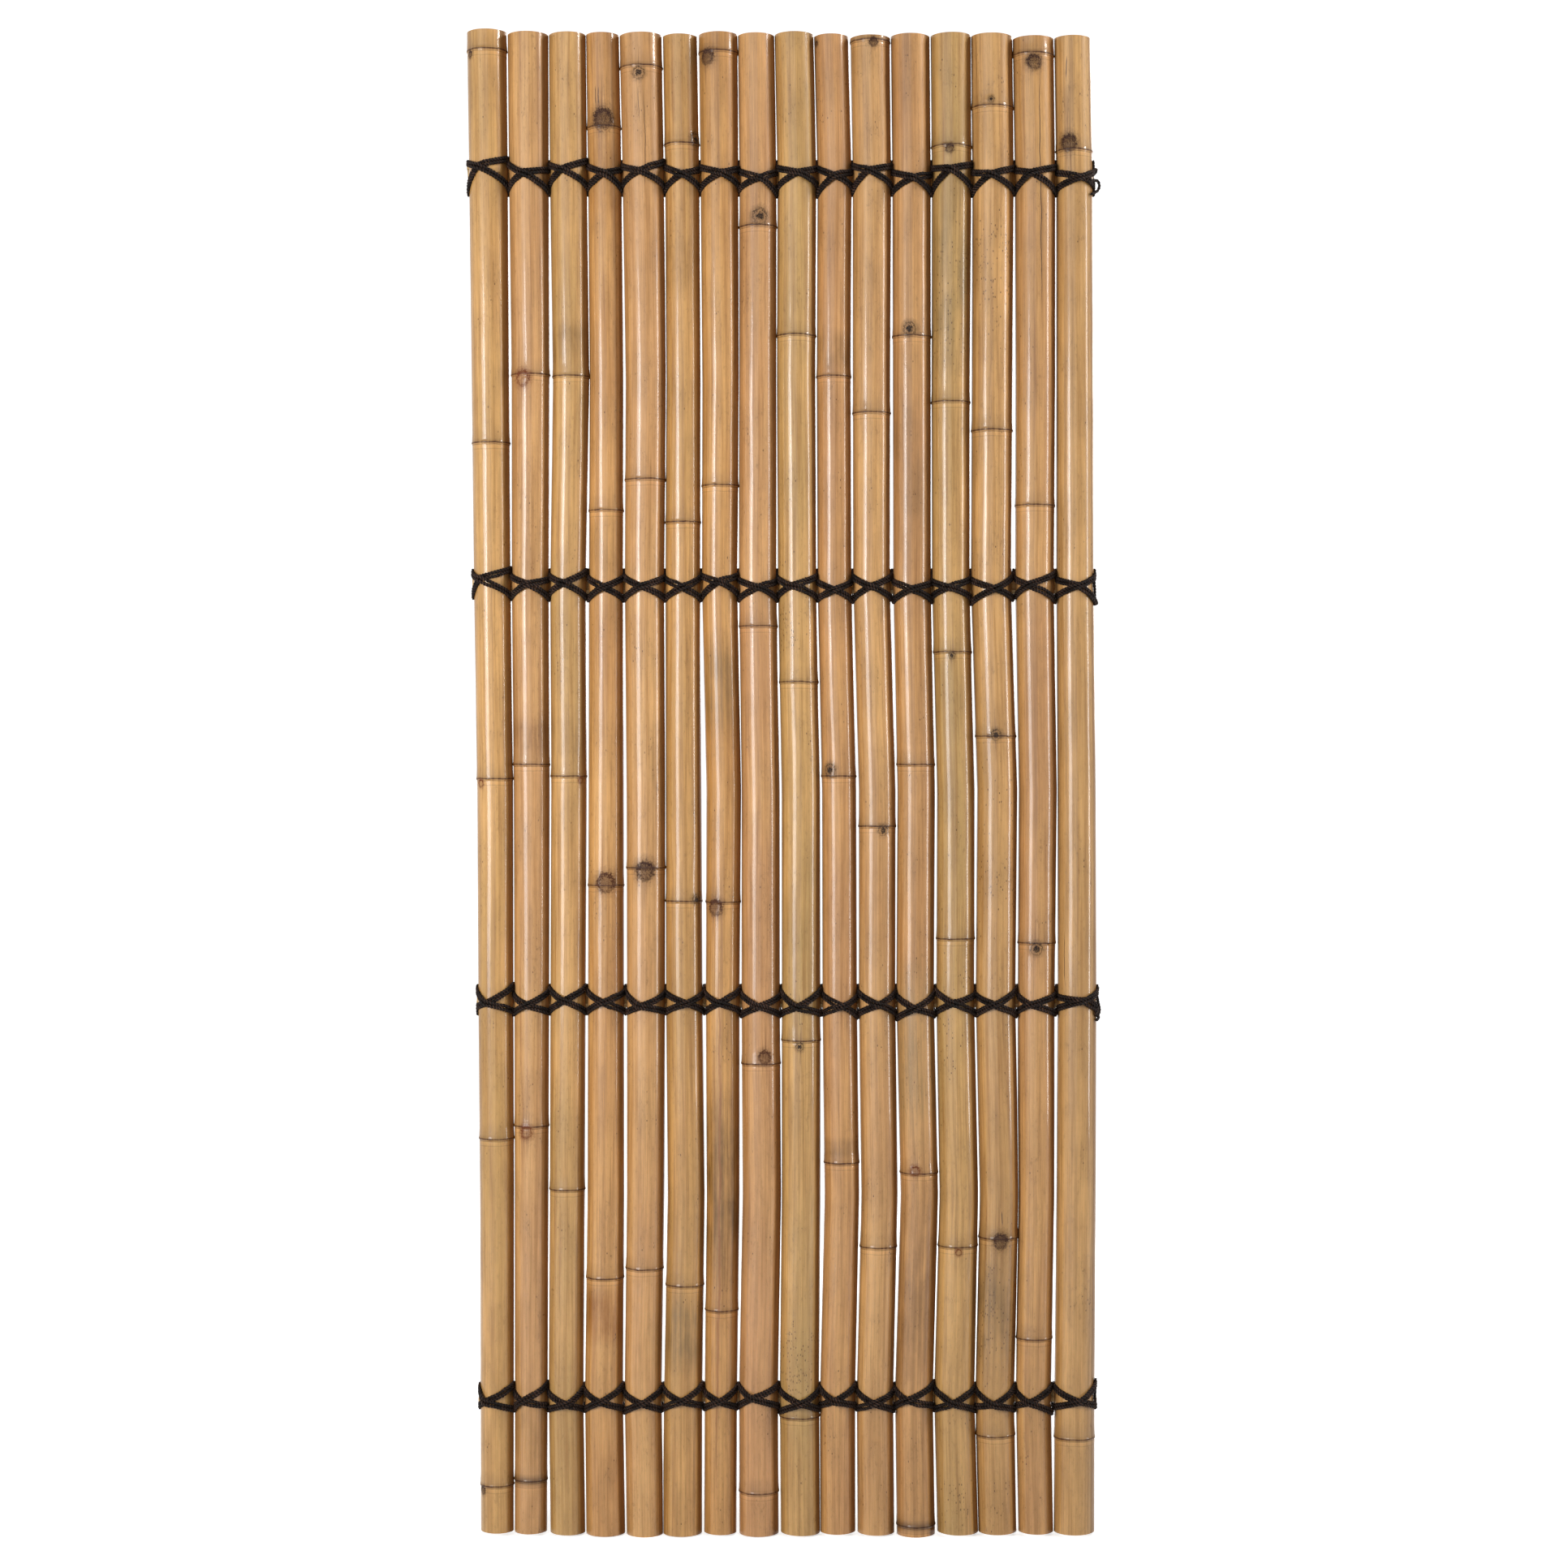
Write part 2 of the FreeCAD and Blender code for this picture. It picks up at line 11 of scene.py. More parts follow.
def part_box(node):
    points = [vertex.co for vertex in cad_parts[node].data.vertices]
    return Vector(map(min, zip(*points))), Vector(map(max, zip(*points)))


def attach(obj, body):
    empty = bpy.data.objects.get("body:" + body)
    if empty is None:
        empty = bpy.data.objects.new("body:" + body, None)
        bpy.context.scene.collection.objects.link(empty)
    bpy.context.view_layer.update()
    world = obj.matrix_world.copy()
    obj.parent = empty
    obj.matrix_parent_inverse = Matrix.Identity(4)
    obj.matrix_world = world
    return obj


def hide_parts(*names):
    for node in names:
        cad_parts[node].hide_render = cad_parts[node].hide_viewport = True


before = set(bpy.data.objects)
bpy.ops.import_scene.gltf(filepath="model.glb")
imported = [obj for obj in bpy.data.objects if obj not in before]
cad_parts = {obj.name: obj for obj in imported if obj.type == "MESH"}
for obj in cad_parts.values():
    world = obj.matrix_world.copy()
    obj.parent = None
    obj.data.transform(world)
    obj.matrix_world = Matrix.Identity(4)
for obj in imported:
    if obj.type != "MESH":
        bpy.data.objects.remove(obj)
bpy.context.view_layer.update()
mm = 0.001
print("panel: frame loaded")

# The photograph's view. Sizes are in mm, here and below, where no comment says that they are in the
# photograph's pixels.
view = {
    "place": (3, -3400, 901.5), "width": 1887.6, "sensor": 36,
    "pixels": 1932, "middle": (966, 967), "mmPerPixel": 0.9704,
}


# Colours and nodes

def toLinear(hexColour):
    # An sRGB hex colour as the linear red, green, blue and alpha that a shader takes
    channels = [int(hexColour[i:i + 2], 16) / 255 for i in (1, 3, 5)]
    return [c / 12.92 if c <= 0.04045 else ((c + 0.055) / 1.055) ** 2.4 for c in channels] + [1]


def addNode(tree, kind, inputs=(), stops=(), out=0, **settings):
    # Adds a shader node, sets or links its inputs, and gives its output, or the node itself for out=None
    node = tree.nodes.new("ShaderNode" + kind)
    for key, value in settings.items():
        setattr(node, key, value)
    for key, value in inputs.items() if isinstance(inputs, dict) else enumerate(inputs):
        if isinstance(value, bpy.types.NodeSocket):
            tree.links.new(value, node.inputs[key])
        else:
            node.inputs[key].default_value = value
    for number, (position, shade) in enumerate(stops):
        ramp = node.color_ramp.elements
        stop = ramp[number] if number < 2 else ramp.new(position)
        stop.position = position
        stop.color = (shade, shade, shade, 1)
    return node.outputs[out] if node.outputs and out is not None else node


# settings that many nodes share
times, plus, minus, larger, absolute = (
    {"operation": name} for name in ("MULTIPLY", "ADD", "SUBTRACT", "MAXIMUM", "ABSOLUTE")
)
timesPlus = {"operation": "MULTIPLY_ADD"}
blend = {"data_type": "RGBA", "out": 2}  # colours on inputs 6 and 7, their share on input 0


def newMaterial(name):
    material = bpy.data.materials.new(name)
    material.use_nodes = True
    material.node_tree.nodes.clear()
    return material, partial(addNode, material.node_tree)


# Materials

# Split bamboo under clear varnish: honey to tan, with fine upright fibres, broad mottles, thin brown
# double rings at the nodes with a paler band below, painted shade down both flanks, and a satin gloss
# that the varnish gives.
finish = {
    "ior": 1.5, "specular": 0.22, "roughness": 0.3, "coat": 0.6, "coatRoughness": 0.1,
    "tone": (0.985, 1.05, 1.1),  # the varnish's own tint over every skin
    "flankShadeFrom": 0.76, "flankShadeStrength": 0.5, "flankShadeSoft": (7, 2.5),  # where the painted shade on both flanks starts, how dark it is, and how softly it fades
    "scarTall": 1.08,  # height of a bud scar for its width
    # the flank colour below is the painted shade down both flanks
    "paintedFlankShade": "#74491F", "fleck": "#7A5028", "speck": "#4C2C17", "crack": "#1E0F08", "stripe": "#8E4F22",
    "ring": "#41200E", "darkNode": "#2C180D", "run": "#6B4226",
    # how often each pattern repeats in a metre across and along the cane, its detail and its roughness
    "grains": {
        "fibre": (1500, 22, 3, 0.5),  # fibres 0.6 mm wide, twice the real ones so that they show
        "streak": (230, 5, 5, 0.62),  # streaks 4 mm wide, 200 mm long
        "mottle": (45, 16, 6, 0.6),  # blotches 20 mm by 60 mm
        "tone": (14, 3.2, 2, 0.5),  # slow change of colour from one internode to the next
        "dirt": (330, 110, 6, 0.72),  # brown flecks of 1 to 3 mm
        "wander": (9, 14, 4, 0.5),  # how cracks stray sideways, by up to 4 mm
        "ringEdge": (90, 40, 3, 0.5),  # how rings stray up and down, by up to 0.9 mm
        "ragged": (420, 420, 3, 0.5), "scarGrain": (1100, 500, 4, 0.7),  # edge and middle of a scar
        "run": (900, 12, 4, 0.5),  # streaks of 1 mm above and below a scar
    },
    "speckCells": (420, 230, 1),  # specks of 1 to 2 mm
    # brightness from 20 mm below a ring to 20 mm above it, where 0.5 changes nothing
    "bandStops": (
        (0.0, 0.5), (1.0, 0.5), (0.2, 0.5), (0.3, 0.54), (0.46, 0.56), (0.52, 0.41), (0.68, 0.43), (0.86, 0.47),
    ),
    # the ring itself, 16 mm each way: a dark line, a thinner one under it and a faint one further down
    "ringStops": (
        (0.0, 0.0), (1.0, 0.0), (0.22, 0.0), (0.25, 0.3), (0.28, 0.0), (0.395, 0.0), (0.415, 0.6),
        (0.435, 0.4), (0.455, 0.1), (0.48, 1.0), (0.515, 0.95), (0.54, 0.25), (0.66, 0.0),
    ),
}


def varnishedBamboo(name, detail, seed):
    material, add = newMaterial(name)
    place = add("UVMap", uv_map="alongCane")
    across, along = add("SeparateXYZ", (place,), out=None).outputs[:2]
    fromNode, nearNode = (add("Attribute", out="Fac", attribute_name=mark) for mark in ("fromNode", "nearNode"))
    moved = add("VectorMath", (place, (seed * 0.37, seed * 1.91, seed * 0.7)), **plus)
    grain = {}
    for key, (perMetreAcross, perMetreAlong, levels, rough) in finish["grains"].items():
        stretched = add("VectorMath", (moved, (perMetreAcross, perMetreAlong, 1)), **times)
        inputs = {"Vector": stretched, "Scale": 1.0, "Detail": levels, "Roughness": rough}
        grain[key] = add("TexNoise", inputs, out="Fac")
    streak, mottle = grain["streak"], grain["mottle"]

    def aroundHeight(middle, farther, nearer, strength=1.0):
        # nothing beyond one distance from a height, and full strength within another
        away = add("Math", (add("Math", (along, middle * mm), **minus),), **absolute)
        return add("MapRange", (away, farther * mm, nearer * mm, 0.0, strength))

    def arcTo(share, height):
        return math.asin(share) * np.interp(height, detail["heights"], detail["radii"]) * mm

    # the bare skin: streaks, stains and flecks over a colour that changes slowly
    layers = [(add("MapRange", (streak, 0.42, 0.7, 0.0, 0.8)), detail["dark"])]
    streaky = add("MapRange", (streak, 0.34, 0.58, 0.45, 1.1))
    patchy = add("Math", (streaky, add("MapRange", (mottle, 0.34, 0.6, 0.55, 1.1))), **times)
    for low, high, stain, strength in detail.get("stains", ()):
        inside = aroundHeight((low + high) / 2, (high - low) / 2, (high - low) / 5)
        inside = add("Math", (inside, strength * 1.25), **times)
        layers.append((add("Math", (inside, patchy), use_clamp=True, **times), stain))
    flecked = add("MapRange", (grain["dirt"], 0.54, 0.74, 0.0, 0.6))
    flecked = add("Math", (flecked, add("MapRange", (mottle, 0.4, 0.62, 0.25, 1.0))), **times)
    layers.append((flecked, finish["fleck"]))
    slow = add("MapRange", (grain["tone"], 0.38, 0.62))
    colour = add("Mix", {0: slow, 6: toLinear(detail["light"]), 7: toLinear(detail["tint"])}, **blend)
    for mask, hexColour in layers:
        colour = add("Mix", {0: mask, 6: colour, 7: toLinear(hexColour)}, **blend)

    # browner just above each ring, paler below it
    shade = add("MapRange", (mottle, 0.32, 0.7, 1.1, 0.83))
    shade = add("Math", (shade, add("MapRange", (grain["fibre"], 0.3, 0.7, 1.07, 0.9))), **times)
    band = add("ValToRGB", (add("MapRange", (fromNode, -20, 20)),), stops=finish["bandStops"])
    band = add("Math", (add("MapRange", (band, 0, 1, -1, 1)), nearNode, 1.0), **timesPlus)
    shade = add("Math", (shade, band), **times)
    colour = add("VectorMath", {0: colour, "Scale": shade}, operation="SCALE")
    colour = add("VectorMath", (colour, finish["tone"]), **times)

    # painted shade: a little darker down both flanks, where the culms shade each other, and a thinner coat there
    edge = math.asin(finish["flankShadeFrom"]) * detail["radius"] * mm
    leftShadeSoft, rightShadeSoft = (soft * mm for soft in finish["flankShadeSoft"])
    rightFlankShade = add("MapRange", (across, edge, edge + rightShadeSoft))
    leftFlankShade = add("MapRange", (across, -edge, -edge - leftShadeSoft, 0.0, 0.5))
    paintedFlankShade = add("Math", (rightFlankShade, leftFlankShade), **plus)
    layers = [(add("Math", (paintedFlankShade, finish["flankShadeStrength"]), **times), finish["paintedFlankShade"])]

    # specks, thick in a few places
    cells = add("VectorMath", (moved, finish["speckCells"]), **times)
    speck = add("TexVoronoi", {"Vector": cells, "Scale": 1.0}, out=None)
    chosen = add("SeparateXYZ", (speck.outputs["Color"],))
    amount = add("MapRange", (mottle, 0.5, 0.75, 0.0, 0.22))
    for low, high, strength in detail.get("patches", ()):
        inside = aroundHeight((low + high) / 2, (high - low) / 2, (high - low) / 4, strength * 0.55)
        amount = add("Math", (inside, add("MapRange", (mottle, 0.35, 0.6, 0.3, 1.0)), amount), **timesPlus)
    shown = add("MapRange", (add("Math", (amount, chosen), **minus), 0.0, 0.05, 0.0, 0.75))
    dots = add("MapRange", (speck.outputs["Distance"], 0.36, 0.2))
    layers.append((add("Math", (dots, shown), use_clamp=True, **times), finish["speck"]))

    # reddish stripes and open cracks run with the fibres
    wander = add("MapRange", (grain["wander"], 0.0, 1.0, -0.004, 0.004))
    lines = [(*crack, finish["crack"], 0.95) for crack in detail.get("cracks", ())]
    lines += [(*stripe, finish["stripe"], 0.5) for stripe in detail.get("stripes", ())]
    sunk = 0.0
    for share, low, high, width, tint, strength in lines:
        away = add("Math", (across, arcTo(share, (low + high) / 2)), **minus)
        away = add("Math", (add("Math", (away, wander), **plus),), **absolute)
        half = aroundHeight((low + high) / 2, (high - low) / 2, (high - low) / 4, width / 2 * mm)
        mask = add("MapRange", (add("Math", (half, away), **minus), 0.0, 0.0002, 0.0, strength))
        layers.append((mask, tint))
        sunk = add("Math", (sunk, mask), **larger)

    waved = add("Math", (fromNode, add("MapRange", (grain["ringEdge"], 0.0, 1.0, -0.9, 0.9))), **plus)
    ring = add("ValToRGB", (add("MapRange", (waved, -16, 16)),), stops=finish["ringStops"])
    ring = add("Math", (ring, add("MapRange", (streak, 0.3, 0.62, 0.6, 1.0))), **times)
    ring = add("Math", (ring, nearNode), use_clamp=True, **times)
    layers.append((ring, finish["ring"]))
    if "darkNode" in detail:
        layers.append((aroundHeight(detail["darkNode"], 9, 2, 0.55), finish["darkNode"]))

    # bud scars, each with a stain that runs up and down the fibres
    ragged = add("MapRange", (grain["ragged"], 0.0, 1.0, -0.5, 0.5))
    coarse = add("MapRange", (grain["scarGrain"], 0.38, 0.62, 1.15, 0.72))
    streaked = add("MapRange", (grain["run"], 0.5, 0.68))
    matt = add("Math", (ring, 0.8), **times)
    for share, height, width, kind in detail["scars"]:
        half = width / 2 * mm
        sideways = add("Math", (add("Math", (across, arcTo(share, height)), **minus), 1 / half), **times)
        upwards = add("Math", (along, height * mm), **minus)
        upwards = add("Math", (upwards, 1 / (half * finish["scarTall"])), **times)
        away = add("Math", (sideways, sideways, add("Math", (upwards, upwards), **times)), **timesPlus)
        away = add("Math", (add("Math", (away,), operation="SQRT"), ragged), **plus)
        shades = [(reach / 2, dark) for reach, dark in scarKinds[kind]["shades"]]
        mark = add("ValToRGB", (add("Math", (away, 0.5), **times),), stops=shades)
        uneven = add("Math", (add("MapRange", (upwards, -1.1, 0.5, 0.8, 1.15)), coarse), **times)
        mark = add("Math", (mark, uneven), use_clamp=True, **times)
        above, below = add("MapRange", (upwards, 0.6, 7.0, 0.8, 0.0)), add("MapRange", (upwards, -5.0, -0.3))
        run = add("Math", (above, below), **times)
        run = add("Math", (run, add("MapRange", (add("Math", (sideways,), **absolute), 1.0, 0.25))), **times)
        run = add("Math", (run, streaked), use_clamp=True, **times)
        layers += [(run, finish["run"]), (mark, scarKinds[kind]["colour"])]
        rubbed = add("Math", (mark, add("Math", (run, 0.7), **times)), **larger)
        matt = add("Math", (matt, rubbed), **larger)
    for mask, hexColour in layers:
        colour = add("Mix", {0: mask, 6: colour, 7: toLinear(hexColour)}, **blend)

    rough = add("MapRange", (mottle, 0.3, 0.7, finish["roughness"] - 0.05, finish["roughness"] + 0.15))
    rough = add("Math", (matt, 0.35, rough), **timesPlus)
    glossy = add("MapRange", (matt, 0.0, 1.0, 1.0, 0.08))
    coat = add("Math", (glossy, add("MapRange", (paintedFlankShade, 0.0, 1.0, finish["coat"], 0.15))), **times)
    height = add("Math", (grain["fibre"], 0.5, add("Math", (grain["dirt"], 0.4), **times)), **timesPlus)
    height = add("Math", (sunk, -4.0, height), **timesPlus)
    height = add("Math", (ring, -1.5, height), **timesPlus)
    shader = add("BsdfPrincipled", {
        "Base Color": colour, "Roughness": rough, "IOR": finish["ior"], "Specular IOR Level": finish["specular"],
        "Coat Weight": coat, "Coat Roughness": finish["coatRoughness"],
        "Coat IOR": 1.5, "Normal": add("Bump", {"Height": height, "Strength": 0.14, "Distance": 0.0002}),
    })
    add("OutputMaterial", {"Surface": shader})
    return material


# Split face and hollow of bamboo, unvarnished: pale straw, matt, with long soft fibres.
def bareBamboo(name, light, dark):
    material, add = newMaterial(name)
    place = add("UVMap", uv_map="alongCane")
    stretched = add("VectorMath", (place, (1100, 22, 1)), **times)
    fibre = add("TexNoise", {"Vector": stretched, "Scale": 1.0, "Detail": 4}, out="Fac")  # fibres of 0.9 mm
    stretched = add("VectorMath", (place, (70, 14, 1)), **times)
    patch = add("TexNoise", {"Vector": stretched, "Scale": 1.0, "Detail": 5}, out="Fac")  # patches of 14 mm
    share = add("MapRange", (add("Math", (fibre, patch), **plus), 0.75, 1.3))
    shader = add("BsdfPrincipled", {
        "Base Color": add("Mix", {0: share, 6: toLinear(light), 7: toLinear(dark)}, **blend),
        "Roughness": add("MapRange", (patch, 0.3, 0.7, 0.58, 0.78)), "IOR": 1.5,
        "Normal": add("Bump", {"Height": fibre, "Strength": 0.5, "Distance": 0.0005}),
    })
    add("OutputMaterial", {"Surface": shader})
    return material


# Sawn bamboo end: straw with the dark dots of the fibre bundles, 0.8 mm apart.
def sawnBamboo(name):
    material, add = newMaterial(name)
    place = add("TexCoord", out="Object")
    dots = add("TexVoronoi", {"Vector": place, "Scale": 1250}, out="Distance")
    stain = add("TexNoise", {"Vector": place, "Scale": 160, "Detail": 4}, out="Fac")
    colour = add("Mix", {0: stain, 6: toLinear("#D9B983"), 7: toLinear("#A67B48")}, **blend)
    share = add("MapRange", (dots, 0.2, 0.42, 1, 0))
    shader = add("BsdfPrincipled", {
        "Base Color": add("Mix", {0: share, 6: colour, 7: toLinear("#5E3D20")}, **blend),
        "Roughness": 0.72, "IOR": 1.5,
        "Normal": add("Bump", {"Height": stain, "Strength": 0.5, "Distance": 0.0004}),
    })
    add("OutputMaterial", {"Surface": shader})
    return material


# Hemp palm twine dyed black: two plies with dark furrows between them, brown-black and dull, with a
# painted highlight of paler brown, broken up by the fibres, on the crests of the plies.
def blackTwine(name, dark, light):
    material, add = newMaterial(name)
    place = add("TexCoord", out="Object")
    fibre = add("TexNoise", {"Vector": place, "Scale": 1300, "Detail": 4, "Roughness": 0.7}, out="Fac")
    patchy = add("TexNoise", {"Vector": place, "Scale": 90, "Detail": 3}, out="Fac")
    # painted highlight: the crests of the plies paler, broken up by fibres and patches
    crest = add("Attribute", out="Fac", attribute_name="plyCrest")
    crestHighlight = add("Math", (add("Math", (fibre, patchy), **times), crest), **times)
    share = add("MapRange", (crestHighlight, 0.14, 0.38))
    shader = add("BsdfPrincipled", {
        "Base Color": add("Mix", {0: share, 6: toLinear(dark), 7: toLinear(light)}, **blend),
        "Roughness": 0.55, "IOR": 1.5, "Specular IOR Level": 0.14,
        "Normal": add("Bump", {
            "Height": add("Math", (crest, 2.0, fibre), **timesPlus), "Strength": 0.9, "Distance": 0.0006,
        }),
    })
    add("OutputMaterial", {"Surface": shader})
    return material


# Plain wire nail, blued by age: dark grey steel with a dull, slightly blotched shine.
def nailSteel(name):
    material, add = newMaterial(name)
    blotch = add("TexNoise", {"Vector": add("TexCoord", out="Object"), "Scale": 900, "Detail": 3}, out="Fac")
    shader = add("BsdfPrincipled", {
        "Base Color": add("Mix", {0: blotch, 6: toLinear("#6A6560"), 7: toLinear("#3A332E")}, **blend),
        "Metallic": 1.0, "Roughness": add("MapRange", (blotch, 0.3, 0.7, 0.38, 0.6)),
    })
    add("OutputMaterial", {"Surface": shader})
    return material


# Shapes

def readNode(name):
    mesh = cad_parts[name].data
    points = np.empty(len(mesh.vertices) * 3, np.float32)
    mesh.vertices.foreach_get("co", points)
    return points.reshape(-1, 3) / mm


def finishMesh(name, points, faces, materials, faceKinds, uvs=None, marks=None, sharpAngle=40):
    mesh = bpy.data.meshes.new(name)
    mesh.from_pydata((np.asarray(points) * mm).tolist(), [], faces)
    for material in materials:
        mesh.materials.append(material)
    mesh.polygons.foreach_set("material_index", faceKinds)
    body = bmesh.new()
    body.from_mesh(mesh)
    bmesh.ops.recalc_face_normals(body, faces=body.faces)
    body.to_mesh(mesh)
    body.free()
    for key, values in (marks or {}).items():
        mesh.attributes.new(key, "FLOAT", "POINT").data.foreach_set("value", np.asarray(values, np.float32))
    if uvs is not None:
        corner = np.empty(len(mesh.loops), np.int32)
        mesh.loops.foreach_get("vertex_index", corner)
        layer = mesh.uv_layers.new(name="alongCane")
        layer.data.foreach_set("uv", (np.asarray(uvs) * mm)[corner].ravel())
    mesh.shade_smooth()
    mesh.set_sharp_from_angle(angle=math.radians(sharpAngle))
    piece = bpy.data.objects.new(name, mesh)
    bpy.context.scene.collection.objects.link(piece)
    return piece


# Sizes of a split culm, and the forms that culms and battens share
cane = {
    "wall": 5.5, "outerSides": 36, "innerSides": 12, "ringStep": 12, "discThickness": 4.5,
    "twist": 0.85, "wobble": 0.14,  # how far it is from round, over a length and from face to face
    "tilt": 0.012,  # slope of the sawn ends
    "flankShare": 0.4, "flankMost": 1.0,  # how much of a wide gap its flanks fill
    "leastStep": 0.6, "nodeOffsets": (0, 0.7, 1.4, 2.1, 2.8, 3.6, 4.6, 6, 7.8, 10, 13),
    # rise, place above the node and width of the ring, the swelling and the furrow below the ring
    "nodeForms": ((0.6, 0, 1.7), (0.4, 3, 7), (-0.25, -2.6, 1.2)),
    "bends": ((260, 1.0), (75, 0.16)),  # length and strength of the slow and the quick twist
    "turnLength": 16, "wobbleLength": 32,
    "grooveDepth": 0.55, "grooveWidth": 4.5, "grooveStart": 6, "grooveLength": 120,
    # share of the hollow's radius, upper or lower face of the disc, and how far it is dished there
    "discProfile": (
        (0, 1, -1.2), (0.55, 1, -0.8), (0.85, 1, 0.3), (1, 1, 2.2),
        (1, -1, -1.5), (0.85, -1, -0.6), (0.55, -1, -0.2), (0, -1, 0),
    ),
}


def caneStations(low, high, nodes, scars, shape):
    # Where the cane has a ring of points: evenly along it, and closer at its nodes and scars
    stations = set(np.round(np.linspace(low, high, int((high - low) / shape["ringStep"]) + 1), 3))
    for node in nodes:
        stations |= {round(node + way * offset, 3) for offset in cane["nodeOffsets"] for way in (-1, 1)}
    for share, height, width, kind in scars:
        stations |= {round(height + offset, 3) for offset in np.arange(-0.7, 0.71, 0.1) * width}
    stations = sorted(s for s in stations if low <= s <= high)
    kept = [stations[0]]
    for station in stations[1:-1]:
        if station - kept[-1] > cane["leastStep"] and high - station > cane["leastStep"]:
            kept.append(station)
    return np.array(kept + [stations[-1]])


def skinRadius(along, angle, radius, away, nodes, scars, flanks, shape, seed):
    # The skin's radius at each place along the cane and each angle round it
    rise = sum(size * np.exp(-((away - place) / width) ** 2) for size, place, width in cane["nodeForms"])
    skin = (radius + rise)[:, None] + np.zeros(len(angle))
    # the cane isn't quite round, and which way it is fuller changes at each node, so its shine wanders
    internode = 0 * along
    for node in nodes:
        internode = internode + np.clip((along - node) / cane["turnLength"] + 0.5, 0, 1)
    for length, size in cane["bends"]:
        turns = [
            [noise.noise(Vector((seed * 7.3 + part * 4.7, s / length, size))) for s in along]
            for part in range(len(nodes) + 2)
        ]
        part, share = internode.astype(int), internode % 1
        here = np.arange(len(along))
        turn = np.array(turns)[part, here] * (1 - share) + np.array(turns)[part + 1, here] * share
        swell = np.array([noise.noise(Vector((s / length, seed * 5.1, size))) for s in along])
        skin += size * shape["twist"] * turn[:, None] * np.sin(2 * angle)
        skin += size * 0.5 * shape["twist"] * swell[:, None] * np.cos(angle) ** 2
    wobble = np.array([
        [noise.noise(Vector((seed * 3.3, s / cane["wobbleLength"], a * 1.7))) for a in angle] for s in along
    ])
    skin += shape["wobble"] * wobble * np.cos(angle) ** 0.5
    skin += np.where(angle < 0, flanks[:, :1], flanks[:, 1:]) * abs(np.sin(angle)) ** 8
    # a mound with a dip in it at each scar, and a groove above it
    for share, height, width, kind in scars:
        arc = (angle[None, :] - math.asin(share)) * radius[:, None]
        up = (along - height)[:, None]
        near = np.sqrt(arc ** 2 + (up / finish["scarTall"]) ** 2) / (width / 2)
        mound, dip = scarKinds[kind]["mound"], scarKinds[kind]["dip"]
        skin += mound * np.exp(-(near / 1.05) ** 2) - dip * np.exp(-(near / 0.55) ** 2)
        above = np.clip(up / cane["grooveLength"], 0, 1)
        deep = np.clip(up / cane["grooveStart"], 0, 1) * (1 - above) ** 2
        skin -= cane["grooveDepth"] * np.exp(-(arc / cane["grooveWidth"]) ** 2) * deep
    return skin


